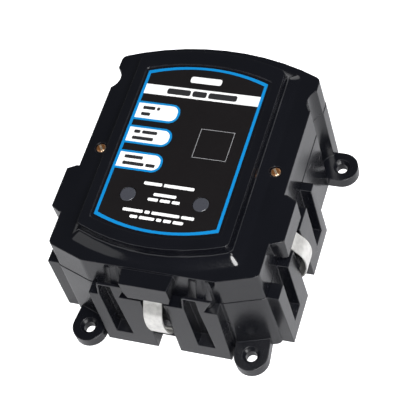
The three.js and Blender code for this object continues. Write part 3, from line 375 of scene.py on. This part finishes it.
MATERIALS = {
    "casing": casing_material(),
    "seal_rubber": rubber_material(),
    "label_film": label_material(),
    "lens": lens_material(),
    "clear_plastic": clear_material(),
    "lamp": lamp_material(),
    "screw_brass": screw_material(),
    "clip_steel": metal_material(
        "clip_steel", rgb(0.9, 0.89, 0.85), rgb(0.97, 0.96, 0.92), 0.4, (4, 4, 0.2), Metallic=0.85
    ),
    "board": board_material(),
    "board_screw_steel": metal_material(
        "board_screw_steel", rgb(0.4, 0.4, 0.4), rgb(0.62, 0.62, 0.63), 0.3
    ),
    "varistor_epoxy": varistor_material(),
    "spring_metal": metal_material(
        "spring_metal", rgb(0.5, 0.5, 0.47), rgb(0.74, 0.73, 0.7), 0.26, (1, 1, 5)
    ),
    "bracket_steel": metal_material(
        "bracket_steel", rgb(0.36, 0.36, 0.37), rgb(0.55, 0.55, 0.56), 0.36, spangle=0.12
    ),
    "fuse_body": fuse_material(),
    "terminal_plastic": plain_plastic(
        "terminal_plastic", rgb(0.012, 0.012, 0.014), rgb(0.02, 0.02, 0.022), 0.42
    ),
    "zinc_fitting": metal_material(
        "zinc_fitting", rgb(0.42, 0.43, 0.44), rgb(0.63, 0.64, 0.66), 0.34, (1, 0.4, 1), spangle=0.15
    ),
    "rating_foil": foil_material(),
    "wire_black": wire_material("wire_black", rgb(0.008, 0.008, 0.008), rgb(0.02, 0.02, 0.02)),
    "wire_white": wire_material("wire_white", rgb(0.6, 0.6, 0.57), rgb(0.76, 0.76, 0.73)),
    "wire_green": wire_material("wire_green", rgb(0.008, 0.12, 0.03), rgb(0.015, 0.2, 0.055)),
}
INKS = {
    "ink_blue": ink_material("ink_blue", rgb(0.0, 0.22, 0.55)),
    "ink_white": ink_material("ink_white", rgb(0.95, 0.95, 0.95)),
    "ink_grey": ink_material("ink_grey", rgb(0.3, 0.3, 0.31)),
    "ink_dark": ink_material("ink_dark", rgb(0.02, 0.02, 0.022)),
}
RESISTOR_BODY = plain_plastic("resistor_body", rgb(0.42, 0.3, 0.17), rgb(0.56, 0.42, 0.26), 0.4)
CAPACITOR_CASE = plain_plastic("capacitor_case", rgb(0.42, 0.2, 0.02), rgb(0.55, 0.29, 0.04), 0.38)
SOLDER = metal_material("solder", rgb(0.45, 0.45, 0.44), rgb(0.72, 0.72, 0.7), 0.22)


# ---------------------------------------------------------------- finish on the CAD nodes
def smooth_by_angle(limit_degrees):
    """Geometry nodes that shade faces smooth and keep edges above the angle sharp."""
    group = bpy.data.node_groups.new("smooth_by_angle", "GeometryNodeTree")
    group.interface.new_socket("Geometry", in_out="INPUT", socket_type="NodeSocketGeometry")
    group.interface.new_socket("Geometry", in_out="OUTPUT", socket_type="NodeSocketGeometry")
    start = group.nodes.new("NodeGroupInput")
    end = group.nodes.new("NodeGroupOutput")
    faces = group.nodes.new("GeometryNodeSetShadeSmooth")
    edges = group.nodes.new("GeometryNodeSetShadeSmooth")
    edges.domain = "EDGE"
    angle = group.nodes.new("GeometryNodeInputMeshEdgeAngle")
    below = group.nodes.new("ShaderNodeMath")
    below.operation = "LESS_THAN"
    below.inputs[1].default_value = math.radians(limit_degrees)
    group.links.new(angle.outputs[0], below.inputs[0])
    group.links.new(below.outputs[0], edges.inputs["Shade Smooth"])
    group.links.new(start.outputs[0], faces.inputs["Geometry"])
    group.links.new(faces.outputs[0], edges.inputs["Geometry"])
    group.links.new(edges.outputs[0], end.inputs[0])
    return group


# Edges above this many degrees stay sharp in the shading.
SMOOTH_LIMIT = 38.0
SMOOTHING = smooth_by_angle(SMOOTH_LIMIT)


def add_smoothing(obj):
    modifier = obj.modifiers.new("smooth", "NODES")
    modifier.node_group = SMOOTHING
    weighted = obj.modifiers.new("weighted", "WEIGHTED_NORMAL")
    weighted.keep_sharp = True


# Points closer than this are joined, and faces within FLAT_LIMIT degrees of flat are merged.
WELD_DISTANCE = 0.002
FLAT_LIMIT = 0.6
# Edges above this many degrees get a bevel.
BEVEL_LIMIT = 32
BEVEL_SEGMENTS = 3


def round_edges(obj, width):
    """Joins the facets of each flat, rounds its edges and shades the curves smooth."""
    mesh = obj.data
    if "custom_normal" in mesh.attributes:
        mesh.attributes.remove(mesh.attributes["custom_normal"])
    for polygon in mesh.polygons:
        polygon.use_smooth = True
    for edge in mesh.edges:
        edge.use_edge_sharp = False
    weld = obj.modifiers.new("weld", "WELD")
    weld.merge_threshold = WELD_DISTANCE * MM
    flats = obj.modifiers.new("flats", "DECIMATE")
    flats.decimate_type = "DISSOLVE"
    flats.angle_limit = math.radians(FLAT_LIMIT)
    bevel = obj.modifiers.new("bevel", "BEVEL")
    bevel.limit_method = "ANGLE"
    bevel.angle_limit = math.radians(BEVEL_LIMIT)
    bevel.width = width * MM
    bevel.segments = BEVEL_SEGMENTS
    add_smoothing(obj)


# Widest bevel in millimetres by the start of the node's name; the rest get the default. The
# bevel is held narrower than this on a node with short edges, so that no faces cross.
EDGE_RADII = {
    "base_housing": 0.65,
    "cover_shell": 0.5,
    "latch_clip": 0.3,
    "cover_screw": 0.18,
    "label_plate": 0.08,
    "rating_plate": 0.06,
    "varistor": 0.9,
    "circuit_board": 0.15,
    "nipple_locknut": 0.5,
    "terminal_block": 0.3,
}
DEFAULT_EDGE_RADIUS = 0.12

slot_of = {entry["node"]: entry["material_slot"] for entry in frame["record"]["subparts"]}
for node_name, node in NODES.items():
    found = [size for start, size in EDGE_RADII.items() if node_name.startswith(start)]
    round_edges(node, found[0] if found else DEFAULT_EDGE_RADIUS)
    node.data.materials.clear()
    node.data.materials.append(MATERIALS[slot_of[node_name]])


# ---------------------------------------------------------------- mesh pieces
def add_piece(name, mesh, material, body):
    obj = bpy.data.objects.new(name, mesh)
    bpy.context.scene.collection.objects.link(obj)
    obj.data.materials.append(material)
    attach(obj, body)
    return obj


def mesh_from(name, verts, faces):
    mesh = bpy.data.meshes.new(name)
    mesh.from_pydata([Vector(v) * MM for v in verts], [], faces)
    work = bmesh.new()
    work.from_mesh(mesh)
    bmesh.ops.remove_doubles(work, verts=work.verts, dist=1e-7)
    bmesh.ops.recalc_face_normals(work, faces=work.faces)
    work.to_mesh(mesh)
    work.free()
    return mesh


def slab_faces(outlines, z0, z1):
    """Thin closed prisms over a list of outlines, as vertices and faces."""
    verts = []
    faces = []
    for outline in outlines:
        first = len(verts)
        count = len(outline)
        verts += [(x, y, z0) for x, y in outline] + [(x, y, z1) for x, y in outline]
        faces.append([first + i for i in range(count)][::-1])
        faces.append([first + count + i for i in range(count)])
        for i in range(count):
            j = (i + 1) % count
            faces.append([first + i, first + j, first + count + j, first + count + i])
    return verts, faces


def ring_faces(outer, inner, z0, z1):
    """A closed flat ring between two outlines with the same number of points."""
    count = len(outer)
    levels = [(outer, z0), (outer, z1), (inner, z1), (inner, z0)]
    verts = [(x, y, z) for outline, z in levels for x, y in outline]
    faces = []
    for level in range(4):
        following = (level + 1) % 4
        for i in range(count):
            j = (i + 1) % count
            faces.append([level * count + i, level * count + j,
                          following * count + j, following * count + i])
    return verts, faces


def lathe_faces(profile, segments, centre, axis):
    """A turned closed piece; the profile is (radius, distance along the axis), ends on the axis."""
    verts = []
    faces = []
    for radius, along in profile:
        for step in range(segments):
            angle = 2 * math.pi * step / segments
            a = radius * math.cos(angle)
            b = radius * math.sin(angle)
            point = {"X": (along, a, b), "Y": (a, along, b), "Z": (a, b, along)}[axis]
            verts.append(tuple(p + c for p, c in zip(point, centre)))
    for row in range(len(profile) - 1):
        for step in range(segments):
            following = (step + 1) % segments
            faces.append([row * segments + step, row * segments + following,
                          (row + 1) * segments + following, (row + 1) * segments + step])
    faces.append(list(range(segments))[::-1])
    last = (len(profile) - 1) * segments
    faces.append([last + step for step in range(segments)])
    return verts, faces


def merged(parts):
    """Joins several (vertices, faces) pairs into one."""
    verts = []
    faces = []
    for part_verts, part_faces in parts:
        start = len(verts)
        verts += part_verts
        faces += [[start + i for i in face] for face in part_faces]
    return verts, faces


def arc_points(centre, radius, start_degrees, end_degrees, count):
    points = []
    for step in range(count + 1):
        angle = math.radians(start_degrees + (end_degrees - start_degrees) * step / count)
        points.append((centre[0] + radius * math.cos(angle), centre[1] + radius * math.sin(angle)))
    return points


def rounded_rectangle(x0, x1, y0, y1, radius, count):
    return (
        arc_points((x1 - radius, y1 - radius), radius, 0, 90, count)
        + arc_points((x0 + radius, y1 - radius), radius, 90, 180, count)
        + arc_points((x0 + radius, y0 + radius), radius, 180, 270, count)
        + arc_points((x1 - radius, y0 + radius), radius, 270, 360, count)
    )


# ---------------------------------------------------------------- print on the label
label_low, label_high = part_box("label_plate")
LABEL_HALF_WIDTH = label_high.x / MM
LABEL_HALF_HEIGHT = label_high.y / MM
LABEL_FACE = label_high.z / MM
# Share of the label's half height at which its corners sit; the bow rises over the rest.
LABEL_CORNER_SHARE = 0.885
LABEL_CORNER_Y = LABEL_HALF_HEIGHT * LABEL_CORNER_SHARE
LABEL_BOW_STEPS = 24
PRINT_GAP = 0.004
PRINT_THICKNESS = 0.05
BORDER_INSET = 0.25
BORDER_WIDTH = 1.6
# Gap between two words' bars.
WORD_GAP = 1.1


def label_outline(inset):
    """The label's shape: straight sides, rounded corners, bowed top and bottom."""
    half = LABEL_HALF_WIDTH - inset
    corner = LABEL_CORNER_Y - inset
    rise = LABEL_HALF_HEIGHT - LABEL_CORNER_Y
    radius = (half * half + rise * rise) / (2 * rise)
    points = []
    for sign in (1, -1):
        for step in range(LABEL_BOW_STEPS + 1):
            x = sign * half * (1 - 2 * step / LABEL_BOW_STEPS)
            y = corner + rise - (radius - math.sqrt(radius * radius - x * x))
            points.append((x, sign * y))
    return points


def printed(name, shape, ink, level=0):
    """One layer of ink on the label; level 1 lies on top of level 0."""
    low = LABEL_FACE + PRINT_GAP + level * (PRINT_THICKNESS + PRINT_GAP)
    verts, faces = shape(low, low + PRINT_THICKNESS)
    return add_piece(name, mesh_from(name, verts, faces), INKS[ink], "cover")


def print_border():
    outer = label_outline(BORDER_INSET)
    inner = label_outline(BORDER_INSET + BORDER_WIDTH)
    printed("label_border", lambda z0, z1: ring_faces(outer, inner, z0, z1), "ink_blue")


BANNER = {"low": 32.4, "high": 39.0}
TABS = [
    {"low": 14.5, "high": 27.0, "end": -8.2},
    {"low": -1.3, "high": 10.6, "end": -7.8},
    {"low": -18.0, "high": -5.9, "end": -7.8},
]
TAB_RADIUS = 5.4
TAB_LINE = 1.3
TAB_MARGIN = 5
TAB_LETTER_WIDTH = 1.75
TAB_BAR_HEIGHT = 2.1
TAB_ROW_STEP = 4.2


def tab_outline(tab, inset):
    """Square at the border, round at the free end."""
    left = -LABEL_HALF_WIDTH + BORDER_INSET + BORDER_WIDTH
    right = tab["end"] - inset
    low = tab["low"] + inset
    high = tab["high"] - inset
    radius = TAB_RADIUS - inset
    return (
        [(left, low)]
        + arc_points((right - radius, low + radius), radius, 270, 360, 10)
        + arc_points((right - radius, high - radius), radius, 0, 90, 10)
        + [(left, high)]
    )


def word_bars(x0, x1, y, height, words):
    """A line of blank bars in place of words, with even gaps."""
    total = sum(words)
    room = (x1 - x0) - WORD_GAP * (len(words) - 1)
    shapes = []
    x = x0
    for word in words:
        width = room * word / total
        shapes.append(rounded_rectangle(x, x + width, y - height / 2, y + height / 2, height * 0.3, 3))
        x += width + WORD_GAP
    return shapes


def print_bars(name, lines, ink, level=0):
    shapes = [shape for line in lines for shape in word_bars(*line)]
    printed(name, lambda z0, z1: slab_faces(shapes, z0, z1), ink, level)


def print_tabs():
    outer = [tab_outline(tab, 0.0) for tab in TABS]
    inner = [tab_outline(tab, TAB_LINE) for tab in TABS]
    printed("label_tab_outlines", lambda z0, z1: slab_faces(outer, z0, z1), "ink_blue")
    printed("label_tabs", lambda z0, z1: slab_faces(inner, z0, z1), "ink_white", 1)
    lines = []
    for tab, words in zip(TABS, ([(4, 1), (3,)], [(2, 5), (7,)], [(6,), (7, 3)])):
        middle = (tab["low"] + tab["high"]) / 2
        left = -LABEL_HALF_WIDTH + TAB_MARGIN
        for row, row_words in enumerate(words):
            length = TAB_LETTER_WIDTH * sum(row_words) + WORD_GAP * (len(row_words) - 1)
            y = middle + TAB_ROW_STEP / 2 - TAB_ROW_STEP * row
            lines.append((left, left + length, y, TAB_BAR_HEIGHT, row_words))
    print_bars("label_tab_bars", lines, "ink_dark", 2)


def print_banner():
    half = LABEL_HALF_WIDTH - BORDER_INSET - BORDER_WIDTH
    strip = rounded_rectangle(-half, half, BANNER["low"], BANNER["high"], 0.05, 1)
    printed("label_banner", lambda z0, z1: slab_faces([strip], z0, z1), "ink_white")
    middle = (BANNER["low"] + BANNER["high"]) / 2
    print_bars("label_banner_bars", [(-20.0, 20.5, middle, 3.9, (5, 3, 6))], "ink_dark", 1)


def print_lower_rows():
    rows = [
        (-13.8, 14.5, -24.8, 1.9, (6, 10)),
        (-6.4, 6.3, -31.0, 1.8, (9,)),
        (-8.6, 9.2, -34.3, 1.8, (4, 4, 3)),
        (-20.1, 19.7, -42.3, 1.8, (8, 2, 11, 5)),
        (-15.0, 14.8, -46.0, 1.8, (3, 6, 2, 3, 4)),
    ]
    print_bars("label_lower_bars", rows, "ink_white")
    print_bars("label_top_bar", [(-9.0, 9.0, 45.2, 4.2, (1,))], "ink_white")


def print_square():
    square = {"x0": 6.7, "x1": 25.9, "y0": -5.0, "y1": 13.8}
    line = 0.3
    corners = [("x0", "y0"), ("x1", "y0"), ("x1", "y1"), ("x0", "y1")]
    outer = [(square[a], square[b]) for a, b in corners]
    inner = [
        (square[a] + (line if a == "x0" else -line), square[b] + (line if b == "y0" else -line))
        for a, b in corners
    ]
    printed("label_square", lambda z0, z1: ring_faces(outer, inner, z0, z1), "ink_grey")


print_border()
print_banner()
print_tabs()
print_lower_rows()
print_square()


# ---------------------------------------------------------------- conduit nipple
NIPPLE_AXIS_Z = sum(corner.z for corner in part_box("conduit_nipple")) / 2 / MM
THREAD_PITCH = 1.8
THREAD_DEPTH = 0.9
THREAD_STEPS = 36
THREAD_ROWS = 8
# Lengths over which the thread rises and dies out, and the share of its height at both ends.
THREAD_RUN_IN = 1.5
THREAD_RUN_OUT = 1.0
THREAD_END_SHARE = 0.15
# Plain length between the flange and the thread, and the flange's own thickness.
THREAD_CLEARANCE = 1.0
FLANGE_THICKNESS = 3.0
# How far the thread's crest and the bore lie inside the flange's edge.
FLANGE_TO_CREST = 3.0
FLANGE_TO_BORE = 5.2


def thread_radius(along, angle, crest):
    """Radius of a rounded-vee thread at a place along the axis and round it."""
    turn = (along / THREAD_PITCH - angle / (2 * math.pi)) % 1.0
    return crest - THREAD_DEPTH * (0.5 - 0.5 * math.cos(2 * math.pi * turn))


def threaded_nipple():
    """The nipple with a real helical thread, made within the plain CAD one's bounds."""
    low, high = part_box("conduit_nipple")
    y0, y1 = low.y / MM, high.y / MM
    flange = (high.x - low.x) / 2 / MM
    crest = flange - FLANGE_TO_CREST
    bore = flange - FLANGE_TO_BORE
    flange_end = y0 + FLANGE_THICKNESS
    start = flange_end + THREAD_CLEARANCE
    count = int((y1 - start) / THREAD_PITCH * THREAD_ROWS)
    root = crest - THREAD_DEPTH
    rows = [(bore, y0, False), (flange, y0, False)]
    rows += [(flange, flange_end, False), (root, flange_end, False)]
    rows += [(crest, start + (y1 - start) * step / count, True) for step in range(count + 1)]
    rows += [(bore, y1, False)]
    verts = []
    for radius, along, threaded in rows:
        for step in range(THREAD_STEPS):
            angle = 2 * math.pi * step / THREAD_STEPS
            reach = radius
            if threaded:
                rise = (along - start) / THREAD_RUN_IN + THREAD_END_SHARE
                fall = (y1 - along) / THREAD_RUN_OUT + THREAD_END_SHARE
                fade = min(1.0, rise, fall)
                reach = root + (thread_radius(along, angle, crest) - root) * fade
            verts.append((reach * math.cos(angle), along, NIPPLE_AXIS_Z + reach * math.sin(angle)))
    faces = []
    for row in range(len(rows)):
        following = (row + 1) % len(rows)
        for step in range(THREAD_STEPS):
            beside = (step + 1) % THREAD_STEPS
            faces.append([row * THREAD_STEPS + step, row * THREAD_STEPS + beside,
                          following * THREAD_STEPS + beside, following * THREAD_STEPS + step])
    mesh = mesh_from("conduit_nipple_thread", verts, faces)
    piece = add_piece("conduit_nipple_thread", mesh, MATERIALS["zinc_fitting"], "base")
    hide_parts("conduit_nipple")
    add_smoothing(piece)


threaded_nipple()


# ---------------------------------------------------------------- fine pieces inside
BOARD_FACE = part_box("circuit_board")[1].z / MM
# Turned profiles, as (radius, height).
BEAD_PROFILE = [(0.95, 0.0), (0.85, 0.25), (0.5, 0.6), (0.3, 0.95)]
TERMINAL_SCREW_PROFILE = [(1.8, 0.1), (1.8, 1.2), (1.5, 1.5), (0.5, 1.5), (0.4, 1.1)]
BEAD_GAP = 0.03


def solder_bead(x, y):
    return lathe_faces(BEAD_PROFILE, 12, (x, y, BOARD_FACE + BEAD_GAP), "Z")


# The block's end wall, and how far its screws stand in from its rear and top faces.
TERMINAL_END_WALL = 1.0
TERMINAL_SCREW_INSET = 3.5
TERMINAL_SCREW_DROP = 3.0


def terminal_screws():
    """A clamp screw with a round recess in each well of the terminal block."""
    low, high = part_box("terminal_block")
    half = (high.x - low.x) / 2 / MM
    pitch = (half - TERMINAL_END_WALL) / 2
    middle_y = high.y / MM - TERMINAL_SCREW_INSET
    seat = high.z / MM - TERMINAL_SCREW_DROP
    heads = []
    for index in range(4):
        x = (index - 1.5) * pitch
        heads.append(lathe_faces(TERMINAL_SCREW_PROFILE, 20, (x, middle_y, seat), "Z"))
    verts, faces = merged(heads)
    mesh = mesh_from("terminal_screws", verts, faces)
    steel = MATERIALS["board_screw_steel"]
    add_smoothing(add_piece("terminal_screws", mesh, steel, "base"))


# How far a varistor's legs stand behind it, and to each side of its middle.
LEG_BACK = 2.2
LEG_SPREAD = 5.0


def varistor_joints():
    """Solder beads at the two legs of each varistor."""
    beads = []
    for line in ("line_1", "line_2"):
        for end in ("neutral", "ground"):
            low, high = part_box(f"varistor_{line}_{end}")
            back = high.y / MM + LEG_BACK
            middle = (low.x + high.x) / 2 / MM
            beads += [solder_bead(middle + side * LEG_SPREAD, back) for side in (-1, 1)]
    verts, faces = merged(beads)
    mesh = mesh_from("varistor_solder", verts, faces)
    add_smoothing(add_piece("varistor_solder", mesh, SOLDER, "base"))


RESISTOR = {
    "radius": 1.15,
    "half": 3.2,
    "tip": 0.45,
    "shoulder": 0.4,
    "bulge": 1.3,
    "neck": 1.8,
    "waist_share": 0.86,
    "rise": 1.7,
    "reach": 5.2,
    "wire": 0.3,
    "wire_foot": 0.9,
    "first": 4.5,
    "pitch": 5.0,
}
# Gap that keeps the wire's parts from sharing a face.
WIRE_GAP = 0.02
LAMP_X = sum(corner.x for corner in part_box("status_lamp_right")) / 2 / MM
LAMP_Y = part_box("status_lamp_right")[0].y / MM


def resistor_places():
    """Two dropping resistors below each status lamp."""
    first = LAMP_Y - RESISTOR["first"]
    pitch = RESISTOR["pitch"]
    return [(sign * LAMP_X, first - pitch * row) for sign in (-1, 1) for row in (0, 1)]


def resistor_bodies():
    form = RESISTOR
    r = form["radius"]
    half = form["half"]
    profile = [(form["tip"], -half), (r, -half + form["shoulder"])]
    profile += [(r, -half + form["bulge"]), (form["waist_share"] * r, -half + form["neck"])]
    profile += [(radius, -along) for radius, along in reversed(profile)]
    height = BOARD_FACE + form["rise"]
    parts = [lathe_faces(profile, 16, (x, y, height), "X") for x, y in resistor_places()]
    verts, faces = merged(parts)
    piece = add_piece("lamp_resistors", mesh_from("lamp_resistors", verts, faces), RESISTOR_BODY, "base")
    add_smoothing(piece)


def resistor_wires():
    """Each wire leaves the body's end, turns down and stands in its solder bead."""
    form = RESISTOR
    wire = form["wire"]
    height = BOARD_FACE + form["rise"]
    parts = []
    for x, y in resistor_places():
        for sign in (-1, 1):
            ends = sorted((sign * (form["half"] + WIRE_GAP), sign * form["reach"]))
            parts.append(lathe_faces([(wire, ends[0]), (wire, ends[1])], 8, (x, y, height), "X"))
            foot = (x + sign * form["reach"], y, BOARD_FACE)
            top = form["rise"] - wire - WIRE_GAP
            parts.append(lathe_faces([(wire, form["wire_foot"]), (wire, top)], 8, foot, "Z"))
            parts.append(solder_bead(x + sign * form["reach"], y))
    verts, faces = merged(parts)
    mesh = mesh_from("lamp_resistor_wires", verts, faces)
    add_smoothing(add_piece("lamp_resistor_wires", mesh, SOLDER, "base"))


CAPACITOR = {
    "middles": (-8.5, 8.5),
    "half_width": 7,
    "front": -36.5,
    "rear": -30.5,
    "corner": 0.8,
    "foot": 0.05,
    "top": 11,
}


def film_capacitors():
    """Two boxed film capacitors standing on the open part of the board."""
    form = CAPACITOR
    half = form["half_width"]
    outlines = [
        rounded_rectangle(x - half, x + half, form["front"], form["rear"], form["corner"], 4)
        for x in form["middles"]
    ]
    verts, faces = slab_faces(outlines, BOARD_FACE + form["foot"], BOARD_FACE + form["top"])
    mesh = mesh_from("film_capacitors", verts, faces)
    add_smoothing(add_piece("film_capacitors", mesh, CAPACITOR_CASE, "base"))


terminal_screws()
varistor_joints()
resistor_bodies()
resistor_wires()
film_capacitors()


# ---------------------------------------------------------------- print on the rating plate
RATING_MARGIN = 3
RATING_TOP_MARGIN = 4
RATING_ROW_STEP = 4.4
RATING_ROWS = [(3, 5, 4), (6, 2, 3), (5, 5), (2, 7, 3), (4, 3)]


def rating_print():
    """Blank bars on the back's foil plate, in place of its lines of words."""
    low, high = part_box("rating_plate")
    left = low.x / MM + RATING_MARGIN
    right = high.x / MM - RATING_MARGIN
    top = high.y / MM - RATING_TOP_MARGIN
    lines = [(left, right - 14, top, 2.6, (4, 6))]
    for row, words in enumerate(RATING_ROWS):
        lines.append((left, right - 4 * row, top - 5 - RATING_ROW_STEP * row, 1.5, words))
    shapes = [shape for line in lines for shape in word_bars(*line)]
    face = low.z / MM
    verts, faces = slab_faces(shapes, face - 0.05, face - 0.01)
    mesh = mesh_from("rating_bars", verts, faces)
    add_piece("rating_bars", mesh, INKS["ink_dark"], "base")


rating_print()


# ---------------------------------------------------------------- stage, light and camera
# Half the floor's width and its gap below the object, both in metres.
FLOOR_HALF = 2.5
FLOOR_GAP = 0.0002
# Glow of the floor and strength of the world: for all rays, and more for the camera's own.
FLOOR_GLOW = 0.06
FLOOR_CAMERA_GLOW = 0.9
WORLD_STRENGTH = 0.06
WORLD_CAMERA_STRENGTH = 1.1
# Name, direction from the origin, distance and width in metres, and power in watts.
LIGHTS = [
    ("key", (0.42, -0.42, 1.0), 1.5, 0.85, 30.0),
    ("left", (-1.0, -0.6, 0.7), 1.6, 1.1, 2.6),
    ("right", (1.2, -0.5, 0.8), 1.6, 0.6, 5.0),
    ("back", (0.3, 1.2, 0.55), 1.6, 1.1, 4.5),
]


def stage_floor():
    mesh = bpy.data.meshes.new("floor")
    half = FLOOR_HALF
    z = cad_low.z - FLOOR_GAP
    corners = [(-half, -half, z), (half, -half, z), (half, half, z), (-half, half, z)]
    mesh.from_pydata(corners, [], [(0, 1, 2, 3)])
    floor = bpy.data.objects.new("floor", mesh)
    bpy.context.scene.collection.objects.link(floor)
    graph = Graph("floor_paper")
    paper = graph.blend(graph.noise(0.01, 3.0), rgb(0.6, 0.6, 0.62), rgb(0.64, 0.64, 0.66))
    seen = graph.tree.nodes.new("ShaderNodeLightPath").outputs["Is Camera Ray"]
    glow = graph.math("ADD", FLOOR_GLOW, graph.math("MULTIPLY", seen, FLOOR_CAMERA_GLOW))
    graph.finish(paper, 0.9, Emission_Color=rgb(1.0, 1.0, 1.0), Emission_Strength=glow)
    mesh.materials.append(graph.material)


def soft_light(name, direction, distance, size, power):
    """A round soft light that looks at the frame's origin."""
    data = bpy.data.lights.new(name, "AREA")
    data.shape = "DISK"
    data.size = size
    data.energy = power
    light = bpy.data.objects.new(name, data)
    bpy.context.scene.collection.objects.link(light)
    away = Vector(direction).normalized()
    light.location = away * distance
    light.rotation_mode = "QUATERNION"
    light.rotation_quaternion = away.to_track_quat("Z", "Y")


def studio():
    world = bpy.data.worlds.new("studio")
    bpy.context.scene.world = world
    world.use_nodes = True
    tree = world.node_tree
    background = tree.nodes["Background"]
    background.inputs["Color"].default_value = rgb(0.9, 0.95, 1.0)
    seen = tree.nodes.new("ShaderNodeLightPath").outputs["Is Camera Ray"]
    strength = tree.nodes.new("ShaderNodeMath")
    strength.operation = "MULTIPLY_ADD"
    strength.inputs[1].default_value = WORLD_CAMERA_STRENGTH
    strength.inputs[2].default_value = WORLD_STRENGTH
    tree.links.new(seen, strength.inputs[0])
    tree.links.new(strength.outputs[0], background.inputs["Strength"])
    for light in LIGHTS:
        soft_light(*light)


# Target, distance and lens in millimetres, and angles in degrees; azimuth 0 looks along +Y.
CAMERA = {
    "target": (6.8, -5.0, 40.0),
    "distance": 774.0,
    "azimuth": 33.2,
    "elevation": 54.61,
    "roll": -19.73,
    "lens": 125.9,
    "shift": (-0.0156, -0.0046),
}


SENSOR_WIDTH = 36.0


def add_camera():
    azimuth = math.radians(CAMERA["azimuth"])
    elevation = math.radians(CAMERA["elevation"])
    back = Vector((
        math.sin(azimuth) * math.cos(elevation),
        -math.cos(azimuth) * math.cos(elevation),
        math.sin(elevation),
    ))
    level = Vector((math.cos(azimuth), math.sin(azimuth), 0.0))
    right = Matrix.Rotation(math.radians(CAMERA["roll"]), 3, back) @ level
    up = back.cross(right)
    data = bpy.data.cameras.new("camera")
    data.lens = CAMERA["lens"]
    data.sensor_width = SENSOR_WIDTH
    data.shift_x, data.shift_y = CAMERA["shift"]
    data.clip_start = 0.01
    camera = bpy.data.objects.new("camera", data)
    bpy.context.scene.collection.objects.link(camera)
    place = (Vector(CAMERA["target"]) + back * CAMERA["distance"]) * MM
    turn = Matrix((right, up, back)).transposed().to_4x4()
    camera.matrix_world = Matrix.Translation(place) @ turn
    bpy.context.scene.camera = camera


stage_floor()
studio()
add_camera()
bpy.context.scene.view_settings.view_transform = "Standard"
